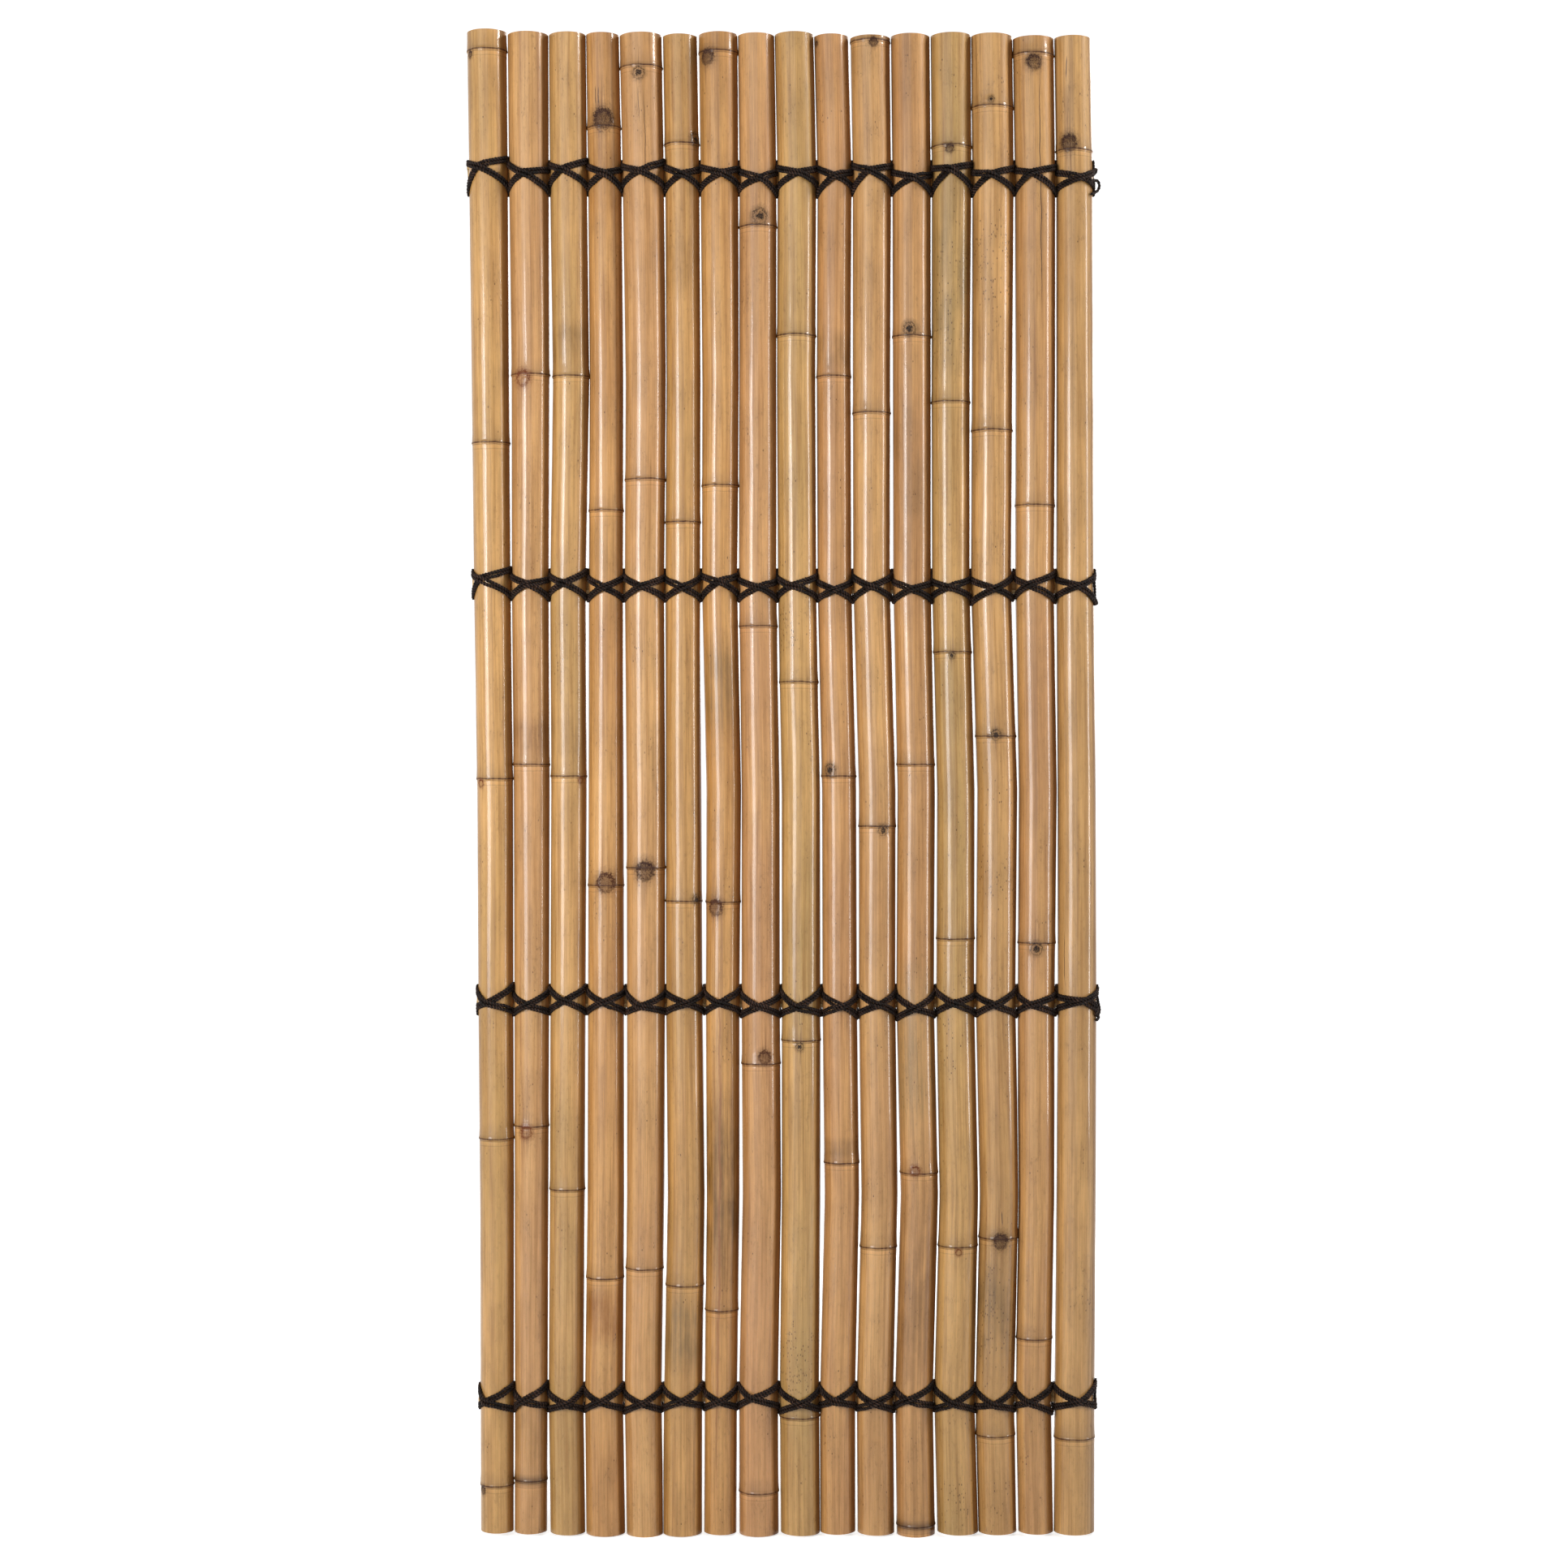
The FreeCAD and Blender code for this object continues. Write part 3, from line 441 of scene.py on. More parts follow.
def splitCane(low, high, centreAt, radiusAt, flankAt, nodes, scars, shape, seed, tilt=0.0):
    # Points, faces, finishes and marks of one split cane, as place along it, across it and outwards
    outer, inner = shape["outerSides"], shape["innerSides"]
    low, high = round(low, 3), round(high, 3)
    along = caneStations(low, high, nodes, scars, shape)
    rings, columns = len(along), outer + inner + 2
    centre = np.array([centreAt(s) for s in along])[:, None]
    radius = np.array([radiusAt(s) for s in along])
    flanks = np.array([flankAt(s) for s in along])
    away = np.full(rings, 99.0)
    for node in nodes:
        off = along - node
        away = np.where(abs(off) < abs(away), off, away)
    angle = np.radians(np.linspace(-90, 90, outer + 1))
    skin = skinRadius(along, angle, radius, away, nodes, scars, flanks, shape, seed)
    innerAngle = np.radians(np.linspace(90, -90, inner + 1))
    hollow = (radius - shape["wall"])[:, None]
    places = np.zeros((rings, columns, 3))
    places[:, :, 0] = along[:, None]
    places[:, :, 1] = centre + np.hstack((skin * np.sin(angle), hollow * np.sin(innerAngle)))
    places[:, :, 2] = np.hstack((skin * np.cos(angle), hollow * np.cos(innerAngle)))
    places[:, [0, outer, outer + 1, -1], 2] = 0
    lean = tilt * (places[:, :, 1] - centre)
    places[0, :, 0] += lean[0]
    places[-1, :, 0] -= lean[-1] * 0.6  # the upper end is sawn a little straighter
    uvs = np.zeros((rings, columns, 2))
    uvs[:, :outer + 1, 0] = angle * radius[:, None]
    uvs[:, outer + 1:, 0] = 60 + innerAngle * hollow  # well away from the skin's part of the pattern
    uvs[:, :, 1] = along[:, None]
    marks = {  # for the skin: the distance from the nearest node, and 1 where that is under 25 mm
        "fromNode": np.repeat(np.clip(away, -60, 60), columns).tolist(),
        "nearNode": np.repeat(np.clip((45 - abs(away)) / 20, 0, 1), columns).tolist(),
    }

    faces, kinds = [], []
    for ring in range(rings - 1):
        start, after = ring * columns, (ring + 1) * columns
        for column in range(columns):
            following = (column + 1) % columns
            faces.append((start + column, start + following, after + following, after + column))
            kinds.append(0 if column < outer else 1)
    step = outer // inner
    for start in (0, (rings - 1) * columns):
        for part in range(inner):
            rim = [start + part * step + i for i in range(step + 1)]
            faces.append((*rim, start + columns - 2 - part, start + columns - 1 - part))
            kinds.append(2)
    points, uvs = places.reshape(-1, 3).tolist(), uvs.reshape(-1, 2).tolist()

    # the disc across the hollow at each node, a little dished
    for node in nodes:
        if not low + shape["discThickness"] < node < high - shape["discThickness"]:
            continue
        middle, rim = centreAt(node), radiusAt(node) - shape["wall"] + 0.4  # 0.4 mm into the wall
        index = []
        for reach, side, dish in cane["discProfile"]:
            up = side * shape["discThickness"] / 2 + dish
            row = []
            for turn in innerAngle[::-1]:
                if reach == 0 and row:
                    row.append(row[0])
                    continue
                row.append(len(points))
                out = 0 if abs(turn) > 1.57 else reach * rim * math.cos(turn)
                points.append([node + up, middle + reach * rim * math.sin(turn), out])
                uvs.append([reach * rim * turn, node + up])
                for mark in marks.values():
                    mark.append(0)
            index.append(row)
        for first, second in zip(index, index[1:]):
            for i in range(inner):
                faces.append(tuple(dict.fromkeys((first[i], first[i + 1], second[i + 1], second[i]))))
                kinds.append(1)
        for end in (0, inner):
            faces.append(tuple(row[end] for row in index))
            kinds.append(1)
    return points, faces, kinds, uvs, marks


# Rear battens: thinner split culms, which the twine of each row goes round. Their nodes stand behind
# the two culms named.
batten = {
    "wall": 4.5, "outerSides": 18, "innerSides": 6, "ringStep": 14, "discThickness": 4, "wobble": 0.1, "twist": 0.1,
    "light": "#D8B27C", "dark": "#B98C55",
    "nodes": {
        "rear_batten_1": ("culm_04", "culm_13"), "rear_batten_2": ("culm_07", "culm_15"),
        "rear_batten_3": ("culm_03", "culm_10"), "rear_batten_4": ("culm_06", "culm_14"),
    },
}

rowHeights = {}
for name in batten["nodes"]:
    low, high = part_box(name)
    rowHeights[name] = (low.z + high.z) / 2 / mm

between = sorted(rowHeights.values())
levels = sorted(between + [(a + b) / 2 for a, b in zip(between, between[1:])])


# The split culms, from the left. nodes: heights of the rings. scars: place across the culm from -1 to 1,
# height, width and kind. cracks and stripes: place across, low end, high end, width. patches: specks from
# one height to another, and how many. stains: darker skin from one height to another, its colour and
# strength. light, dark and tint are the skin's colours.
culms = {
    "culm_01": {
        "nodes": (60, 476, 908, 1311, 1782), "light": "#E4AB68", "dark": "#AC763D", "tint": "#CF9C5B",
        "scars": ((-0.8, 1776, 8, "smudge"), (-0.72, 902, 9, "ring"), (-0.8, 54, 9, "smudge")),
    },
    "culm_02": {
        "nodes": (66, 491, 925, 1393), "light": "#E2A96A", "dark": "#AB7440", "tint": "#D29A63",
        "scars": ((-0.38, 1387, 18, "ring"), (-0.25, 484, 15, "ring")), "darkNode": 66,
        "stains": ((66, 190, "#A0713E", 0.45), (930, 985, "#7E5230", 0.35)),
    },
    "culm_03": {
        "nodes": (415, 911, 1391), "light": "#E1A968", "dark": "#AA753D", "tint": "#CB9C5E",
        "scars": ((0.72, 906, 7, "ring"),),
        "stains": ((1396, 1460, "#8C6434", 0.45), (915, 1000, "#9A7242", 0.35)),
    },
    "culm_04": {
        "nodes": (309, 780, 1230, 1690), "light": "#E1A664", "dark": "#A76E37", "tint": "#D09559",
        "scars": ((0.0, 1698, 23, "smudge"), (0.05, 783, 22, "hollow")),
        "cracks": ((-0.42, 1712, 1740, 1.0), (-0.22, 1712, 1738, 1.0), (-0.62, 1745, 1800, 0.7)),
        "stains": ((225, 306, "#A4662C", 0.6), (1560, 1688, "#A86E34", 0.5), (1140, 1228, "#A97A42", 0.35)),
    },
    "culm_05": {
        "nodes": (320, 801, 1267, 1762), "light": "#E4AB6C", "dark": "#B07841", "tint": "#D79D64",
        "scars": ((-0.1, 1752, 14, "eye"), (0.0, 797, 21, "smudge")),
        "cracks": ((0.12, 1600, 1742, 0.8), (-0.14, 1690, 1742, 0.7)),
    },
    "culm_06": {
        "nodes": (300, 761, 1216, 1670), "light": "#DFA562", "dark": "#A46E37", "tint": "#CB9758",
        "scars": ((0.84, 1674, 15, "eye"), (0.72, 763, 11, "eye")), "patches": ((270, 292, 0.8),),
        "stains": ((190, 298, "#7D6038", 0.55), (1480, 1560, "#9A6C38", 0.4)),
    },
    "culm_07": {
        "nodes": (270, 760, 1260, 1780), "light": "#E1A562", "dark": "#A76F37", "tint": "#D09455",
        "scars": ((-0.58, 1772, 17, "smudge"), (-0.45, 753, 18, "hollow")), "stripes": ((-0.2, 20, 735, 3.0),),
        "stains": ((285, 560, "#76501F", 0.6), (950, 1090, "#7E5C30", 0.4)),
    },
    "culm_08": {
        "nodes": (52, 566, 1091, 1571), "light": "#E2A86A", "dark": "#AC7441", "tint": "#D49963",
        "scars": ((0.12, 1581, 17, "eye"), (0.2, 574, 15, "hollow")),
    },
    "culm_09": {
        "nodes": (142, 594, 1024, 1440), "light": "#E0AA67", "dark": "#A8763D", "tint": "#C99D5F",
        "scars": ((-0.08, 587, 9, "eye"),), "patches": ((1055, 1120, 0.75), (150, 265, 1.0)),
        "cracks": ((-0.1, 610, 655, 0.7),),
    },
    "culm_10": {
        "nodes": (447, 911, 1391), "light": "#E1A565", "dark": "#A9713D", "tint": "#D1965F",
        "scars": ((-0.55, 918, 14, "eye"), (-0.9, 1790, 6, "smudge")), "patches": ((1690, 1715, 0.6),),
        "stains": ((1395, 1450, "#8A6032", 0.5), (450, 480, "#93683A", 0.5)),
    },
    "culm_11": {
        "nodes": (346, 851, 1347, 1793), "light": "#E4AB6A", "dark": "#AE7741", "tint": "#D49C63",
        "scars": ((0.15, 1789, 10, "smudge"), (0.3, 846, 12, "eye")),
    },
    "culm_12": {
        "nodes": (12, 435, 925, 1439), "light": "#DCA163", "dark": "#A46E3B", "tint": "#CB915B",
        "scars": ((-0.15, 1446, 15, "eye"), (-0.25, 438, 12, "ring")), "darkNode": 12,
        "stains": ((120, 432, "#9C6C3E", 0.5), (1150, 1436, "#A5774A", 0.35), (440, 700, "#A48A5C", 0.3)),
    },
    "culm_13": {
        "nodes": (347, 716, 1060, 1360, 1667), "light": "#DFA966", "dark": "#A6743C", "tint": "#C89C5E",
        "scars": ((-0.15, 1662, 10, "smudge"), (-0.1, 1055, 8, "eye"), (0.0, 341, 8, "ring")),
        "patches": ((1370, 1600, 0.65), (10, 90, 0.6), (540, 720, 0.45)),
        "stains": ((1370, 1640, "#8F7444", 0.4),),
    },
    "culm_14": {
        "nodes": (120, 357, 959, 1326, 1714), "light": "#E1A867", "dark": "#A8723B", "tint": "#CD995C",
        "scars": ((-0.12, 1720, 7, "eye"), (-0.05, 960, 12, "eye"), (0.05, 354, 17, "smudge")),
        "patches": ((1440, 1610, 0.7), (185, 335, 0.9), (700, 950, 0.35)),
        "stains": ((175, 352, "#85643C", 0.55),),
        "cracks": ((-0.78, 1735, 1798, 0.7), (0.12, 372, 392, 1.0)),
    },
    "culm_15": {
        "nodes": (236, 711, 1236, 1777), "light": "#E0A665", "dark": "#A8713D", "tint": "#CF955E",
        "scars": ((-0.05, 1765, 17, "smudge"), (-0.08, 704, 14, "eye")),
        "cracks": ((0.22, 1440, 1800, 1.1),),
    },
    "culm_16": {
        "nodes": (117, 1662), "light": "#E4AC6A", "dark": "#AC7840", "tint": "#D19C5F",
        "scars": ((-0.4, 1669, 19, "smudge"),), "patches": ((1170, 1200, 0.5),),
        "cracks": ((-0.72, 655, 730, 0.9), (-0.45, 1745, 1775, 1.2)),
    },
}

# How dark a scar is from its middle outwards, in shares of its half width, its colour,
# and how high its mound and how deep its dip is
scarKinds = {
    "eye": {
        "colour": "#180B06", "mound": 0.9, "dip": 0.8,
        "shades": ((0, 1.0), (0.42, 0.97), (0.6, 0.45), (0.75, 0.3), (0.92, 0.8), (1.15, 0.35), (1.8, 0)),
    },
    "smudge": {
        "colour": "#331A10", "mound": 0.7, "dip": 0.3,
        "shades": ((0, 0.8), (0.5, 0.75), (0.85, 1.0), (1.05, 0.75), (1.3, 0.3), (2.0, 0)),
    },
    "ring": {
        "colour": "#6B3212", "mound": 0.6, "dip": 0.5,
        "shades": ((0, 0.6), (0.3, 0.35), (0.6, 0.5), (0.85, 1.0), (1.05, 0.5), (1.7, 0)),
    },
    "hollow": {
        "colour": "#472410", "mound": 0.5, "dip": 1.0,
        "shades": ((0, 0.72), (0.5, 0.6), (0.8, 1.0), (0.95, 0.9), (1.2, 0.3), (1.9, 0)),
    },
}

for name, detail in culms.items():
    points = readNode(name)
    cut = points[abs(points[:, 1]) < 0.1]  # its corners on the plane where culms and battens meet
    heights = [points[:, 2].min(), *levels, points[:, 2].max()]
    edges = [cut[abs(cut[:, 2] - height) < 0.25][:, 0] for height in heights]
    detail["heights"] = heights
    detail["centres"] = [float(edge.min() + edge.max()) / 2 for edge in edges]
    detail["radii"] = [float(edge.max() - edge.min()) / 2 for edge in edges]
    detail["radius"] = sum(detail["radii"]) / len(detail["radii"])
    print("panel:", name, [round(r, 1) for r in detail["radii"]])

culmNames = list(culms)


def culmAt(number, height):
    # Middle and radius of a culm, numbered from 1, at a height
    detail = culms[culmNames[number - 1]]
    centre = np.interp(height, detail["heights"], detail["centres"])
    return float(centre), float(np.interp(height, detail["heights"], detail["radii"]))


def flankFill(number, height):
    # How much the left and right flanks stand out where the gap beside them is wide
    centre, radius = culmAt(number, height)
    fills = []
    for beside in (number - 1, number + 1):
        gap = 1.0
        if 1 <= beside <= len(culms):
            other, otherRadius = culmAt(beside, height)
            gap = abs(other - centre) - radius - otherRadius
        fills.append(min(max(gap * cane["flankShare"], 0), cane["flankMost"]))
    return fills


bareMaterial = bareBamboo("bareBambooHollow", "#E3C793", "#BE955C")
sawnMaterial = sawnBamboo("sawnBambooEnd")

for number, (name, detail) in enumerate(culms.items(), 1):
    points, faces, kinds, uvs, marks = splitCane(
        detail["heights"][0], detail["heights"][-1],
        lambda s: culmAt(number, s)[0], lambda s: culmAt(number, s)[1], lambda s: flankFill(number, s),
        detail["nodes"], detail["scars"], cane, number, tilt=cane["tilt"] * (-1) ** number,
    )
    points = [(across, -out, along) for along, across, out in points]
    skin = varnishedBamboo(f"varnishedBamboo{number:02d}", detail, number)
    materials = [skin, bareMaterial, sawnMaterial]
    piece = finishMesh(f"split_culm_{number:02d}", points, faces, materials, kinds, uvs, marks)
    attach(piece, "root")
    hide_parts(name)
    detail["piece"] = piece
print("panel: culms built")

for order, (name, carriers) in enumerate(batten["nodes"].items(), 1):
    low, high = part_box(name)
    height = rowHeights[name]
    points = readNode(name)
    cut = points[abs(points[:, 1]) < 0.1]  # its corners on the plane where culms and battens meet
    radius = float(cut[:, 2].max() - cut[:, 2].min()) / 2
    nodes = [culmAt(culmNames.index(carrier) + 1, height)[0] for carrier in carriers]
    points, faces, kinds, uvs, marks = splitCane(
        low.x / mm, high.x / mm, lambda s: height, lambda s: radius, lambda s: (0, 0), nodes, (), batten, order + 20,
    )
    points = [(along, out, across) for along, across, out in points]
    skin = bareBamboo(f"plainBambooBatten{order}", batten["light"], batten["dark"])
    materials = [skin, bareMaterial, sawnMaterial]
    piece = finishMesh(f"back_batten_{order}", points, faces, materials, kinds, uvs, marks)
    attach(piece, "root")
    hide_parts(name)
print("panel: battens built")


# The lashings. level: the row's height in the photograph, in its pixels from the top. drop: how far the
# front hangs below the row's middle. Each crossing, from the left: place across the culm from -1 to 1,
# height, then where the falling arm starts and ends and where the rising arm starts and ends, in pixels
# above the level, and the arm that lies on top.
lashings = {
    "lashing_1": {
        "batten": "rear_batten_1", "drop": 0.0, "level": 215, "crossings": (
            (-0.45, 10, 17, -14, -18, 22, "f"), (-0.25, 1, 17, -21, -17, 8, "f"),
            (-0.33, 6, 15, -14, -13, 20, "f"), (-0.02, 1, 14, -18, -16, 9, "f"),
            (-0.18, 3, 13, -14, -13, 19, "f"), (-0.05, 0, 13, -16, -19, 9, "f"),
            (0.07, 1, 12, -13, -17, 10, "f"), (0.07, -5, 7, -24, -17, 6, "f"),
            (0.0, 1, 11, -11, -16, 10, "f"), (0.0, -2, 11, -15, -24, 6, "r"),
            (-0.24, 4, 14, -14, -20, 13, "f"), (0.0, -5, 6, -23, -21, 2, "f"),
            (-0.17, 6, 10, -18, -21, 15, "f"), (-0.22, -1, 5, -21, -23, 11, "f"),
            (-0.25, 1, 8, -23, -20, 12, "r"), (0.25, -4, 5, -12, -17, 6, "r"),
        ),
    },
    "lashing_2": {
        "batten": "rear_batten_2", "drop": 1.4, "level": 718, "crossings": (
            (-0.57, 6, 14, -16, -15, 19, "f"), (-0.1, -1, 11, -19, -18, 6, "r"),
            (-0.2, 0, 11, -18, -13, 17, "f"), (-0.1, -5, 9, -20, -20, 9, "r"),
            (-0.13, -4, 10, -19, -20, 9, "r"), (0.0, -5, 8, -20, -20, 9, "r"),
            (-0.05, 2, 11, -14, -18, 11, "f"), (0.0, -5, 6, -20, -20, 4, "f"),
            (-0.3, -3, 8, -18, -16, 10, "f"), (-0.05, -8, 4, -22, -20, 4, "r"),
            (-0.1, -4, 10, -19, -20, 10, "f"), (-0.08, -7, 4, -22, -22, 2, "r"),
            (-0.16, -5, 4, -18, -16, 7, "f"), (0.1, -7, 6, -19, -24, 10, "r"),
            (-0.4, -2, 7, -22, -16, 14, "r"), (0.1, -3, 6, -24, -16, 10, "r"),
        ),
    },
    "lashing_3": {
        "batten": "rear_batten_3", "drop": 3.7, "level": 1235, "crossings": (
            (-0.4, 0, 16, -12, -6, 22, "f"), (-0.25, -3, 11, -13, -15, 15, "r"),
            (-0.15, 3, 18, -13, -12, 20, "f"), (-0.15, 1, 15, -12, -13, 13, "r"),
            (-0.2, -4, 13, -12, -13, 12, "f"), (0.1, 0, 13, -11, -13, 11, "r"),
            (-0.18, 0, 12, -12, -13, 17, "f"), (-0.1, -4, 12, -17, -17, 9, "f"),
            (-0.2, -5, 14, -15, -15, 17, "f"), (0.13, -4, 11, -19, -15, 8, "r"),
            (0.05, -2, 13, -15, -15, 14, "f"), (-0.07, -7, 10, -17, -21, 13, "r"),
            (-0.15, 0, 15, -15, -13, 10, "f"), (-0.15, -2, 10, -17, -16, 17, "r"),
            (-0.4, -2, 10, -15, -12, 10, "r"), (0.2, 3, 7, -12, -8, 14, "r"),
        ),
    },
    "lashing_4": {
        "batten": "rear_batten_4", "drop": 3.5, "level": 1725, "crossings": (
            (-0.55, -1, 14, -14, -9, 19, "f"), (-0.5, -1, 10, -9, -15, 20, "r"),
            (0.05, -4, 10, -14, -14, 14, "r"), (-0.2, -1, 13, -13, -15, 18, "r"),
            (-0.07, -3, 10, -15, -17, 14, "r"), (-0.1, 0, 14, -9, -13, 19, "r"),
            (-0.12, -1, 11, -12, -13, 16, "r"), (-0.3, 4, 18, -10, -10, 19, "f"),
            (0.03, -3, 13, -14, -17, 13, "r"), (-0.2, 0, 15, -9, -9, 19, "f"),
            (-0.12, -3, 12, -15, -13, 11, "r"), (-0.4, 1, 13, -9, -10, 21, "r"),
            (-0.12, -2, 15, -15, -14, 16, "f"), (-0.12, -4, 13, -14, -10, 17, "f"),
            (-0.3, -2, 11, -18, -9, 17, "f"), (0.1, 0, 15, -9, -11, 20, "r"),
        ),
    },
}

# Loose strands at the right end of each row: place across and down in the photograph's pixels, and
# how far the strand stands off the last culm, in mm.
rightEnds = {
    "lashing_1": (
        ((1342, 222, 3), (1346, 214, 3), (1350, 209, 3), (1352, 211, 3), (1349, 215, 4), (1343, 217, 3),
         (1339, 222, 3), (1342, 226, 3), (1347, 223, 3), (1353, 224, 3), (1355, 230, 3), (1353, 236, 3),
         (1348, 239, 3), (1345, 240, 3)),
    ),
    "lashing_2": (((1349, 706, 3), (1348, 716, 1), (1349, 728, 1), (1349, 738, 1), (1352, 745, 2)),),
    "lashing_3": (
        ((1344, 1232, 4), (1350, 1237, 3), (1352, 1244, 3), (1350, 1250, 3), (1354, 1255, 3), (1351, 1258, 3)),
        ((1353, 1218, 2), (1351, 1226, 2), (1353, 1236, 2), (1355, 1246, 2), (1353, 1252, 2)),
    ),
    "lashing_4": (((1350, 1699, 2), (1349, 1712, 1), (1349, 1724, 1), (1350, 1736, 2)),),
}

# Two-ply twine: radius in front of the culms and in the gaps, how the pair of strands is laid, and how
# the plies, the lumps and the loose fibres are drawn.
twine = {
    # light: the colour of the painted highlight on the crests of the plies
    "dark": "#0B0503", "light": "#6A4E41",
    "front": 1.95, "inGap": 1.3, "clearance": 0.1, "pairPitch": 3.9, "looseThin": 0.85,
    "frontDepth": -21,  # where the front of the rows stands, seen from the side
    "edgeAngle": 80, "acrossSteps": 41,
    "partings": (0, 0, 0.25, 0.5), "partingAt": 0.6, "partingWidth": 0.25,  # where the two strands part
    "humpRise": 1.75, "humpWidth": 0.62,  # the strand on top, as it passes over the other one
    "stackPlay": 2, "edgeDepths": (0, 3.5), "layerStep": 1.6, "backSpread": 2.7,
    "denseStep": 0.8, "roundings": 8, "frontFrom": -1.5, "frontStep": 1.35, "backStep": 3.2,
    "sides": 8, "ringsPerTurn": 5.5, "lobe": 0.26, "lump": 0.14, "lumpRate": 0.35,
    "hairs": 2400, "hairLength": (1.0, 3.6), "hairWidth": 0.32, "hairLean": 1.5, "hairFrom": -9,
}


def gapMiddle(number, height):
    # Middle of the gap on the right of a culm, or just outside the panel at its two ends
    outside = twine["inGap"] + twine["clearance"]
    if number == 0:
        centre, radius = culmAt(1, height)
        return centre - radius - outside
    left = sum(culmAt(number, height))
    if number == len(culms):
        return left + outside
    centre, radius = culmAt(number + 1, height)
    return (left + centre - radius) / 2


def placeInPhoto(across, down, depth):
    # A place read from the photograph, at a depth in front of the panel's back plane
    distance = -view["place"][1]
    scale = view["width"] / view["pixels"] * (distance + depth) / distance
    x = (across - view["middle"][0]) * scale + view["place"][0]
    return np.array((x, depth, view["place"][2] - (down - view["middle"][1]) * scale))


def stackHeight(row, height, side, low):
    # Where a strand passes the edge of the batten, in the groove, above or below the row's middle
    place = (1 if low else -1) * side * 0.5 + 0.5 + (1 if low else 0)
    reach = row["inner"] + place * 2 * twine["inGap"]
    return math.copysign(max(reach, min(abs(height), reach + twine["stackPlay"])), height)


def overCulm(row, number, rises, side, dice):
    # One strand over the front of a culm, from the groove on its left to the groove on its right
    share, cross, leftHigh, rightLow, leftLow, rightHigh, top = row["crossings"][number - 1]
    start, end = (leftLow, rightHigh) if rises else (leftHigh, rightLow)
    start, cross, end = (value * view["mmPerPixel"] - row["drop"] for value in (start, cross, end))
    edge, middle = math.radians(twine["edgeAngle"]), math.asin(share)
    onTop = (top == "r") == rises
    partAt = dice.uniform(-twine["partingAt"], twine["partingAt"])
    partWide = dice.choice(twine["partings"])
    points = []
    for angle in np.linspace(-edge, edge, twine["acrossSteps"]):
        slope = (cross - start) / (middle + edge) if angle < middle else (end - cross) / (edge - middle)
        height = cross + (angle - middle) * slope
        centre, radius = culmAt(number, row["height"] + height)
        parted = 1 + partWide * math.exp(-((angle - partAt) / twine["partingWidth"]) ** 2)
        height += side * parted * twine["pairPitch"] / 2 / math.cos(math.atan2(slope, radius))
        near = max(0.0, 1 - abs(angle - middle) / twine["humpWidth"])
        lift = near * near * (3 - 2 * near) * twine["front"] * twine["humpRise"] if onTop else 0
        stand = radius + twine["clearance"] + twine["front"] + lift
        points.append((centre + stand * math.sin(angle), -stand * math.cos(angle), row["height"] + height))
    leftStack = row["height"] + stackHeight(row, start, side, rises)
    rightStack = row["height"] + stackHeight(row, end, side, not rises)
    left = [(gapMiddle(number - 1, leftStack), -depth, leftStack) for depth in twine["edgeDepths"]]
    right = [(gapMiddle(number, rightStack), -depth, rightStack) for depth in twine["edgeDepths"]]
    return left + points + right[::-1]


def roundBatten(row, gap, spread, layer, upwards):
    # One strand round the back of the batten in a gap
    points = []
    for angle in np.radians(np.arange(15, 166, 12)):
        reach = row["inner"] + layer * twine["layerStep"] * abs(math.cos(angle))
        height = row["height"] + reach * math.cos(angle)
        across = gapMiddle(gap, row["height"]) + spread * twine["backSpread"] * math.sin(angle)
        points.append((across, reach * math.sin(angle), height))
    return points[::-1] if upwards else points


def strandRun(row, rises, side, dice):
    # One strand along the whole row, from the left, which changes sides with its pair at each culm
    points = []
    for number in range(1, len(culms) + 1):
        points += overCulm(row, number, rises, side, dice)
        if number < len(culms):
            spread = side + 0.5 if rises else 2 * side
            points += roundBatten(row, number, spread, 1 + side, not rises)
        side = -side
    return points


def lashingRoute(row, dice):
    # The twine goes along the row four times, and over each culm it falls twice and rises twice
    falls, rises, fallsAgain, risesAgain = (
        strandRun(row, rises, side, dice) for rises, side in ((False, 1), (True, -1), (False, -1), (True, 1))
    )
    last = len(culms)
    route = falls[::-1] + roundBatten(row, 0, 1, 2, False) + rises
    route += roundBatten(row, last, -1, 1, False) + fallsAgain[::-1]
    route += roundBatten(row, 0, 0, 1, False) + risesAgain
    return route + roundBatten(row, last, 0.5, 0, False)[:8]  # the end is tucked in behind the batten


def onLastCulm(across, down, stand):
    # A place on or beside the last culm's right flank, from the photograph
    point = placeInPhoto(across, down, -8)
    centre, radius = culmAt(len(culms), point[2])
    reach = radius + twine["front"] + twine["clearance"]
    depth = math.sqrt(max(reach ** 2 - (point[0] - centre) ** 2, 4))  # 2 mm at least
    return placeInPhoto(across, down, -depth - (stand if depth > 2.1 else 0))


def evenly(points):
    # The strand's line rounded at its corners, with its rings close together where they show
    points = np.array(points, float)
    gaps = np.linalg.norm(np.diff(points, axis=0), axis=1)
    run = np.concatenate(([0], np.cumsum(gaps)))
    dense = np.linspace(0, run[-1], int(run[-1] / twine["denseStep"]) + 2)
    points = np.stack([np.interp(dense, run, points[:, axis]) for axis in range(3)], axis=1)
    for _ in range(twine["roundings"]):
        points[1:-1] = points[1:-1] * 0.5 + (points[:-2] + points[2:]) * 0.25
    gaps = np.linalg.norm(np.diff(points, axis=0), axis=1)
    step = np.where(points[1:, 1] < twine["frontFrom"], twine["frontStep"], twine["backStep"])
    count = np.concatenate(([0], np.cumsum(gaps / step)))
    even = np.linspace(0, count[-1], int(count[-1]) + 2)
    return np.stack([np.interp(even, count, points[:, axis]) for axis in range(3)], axis=1)


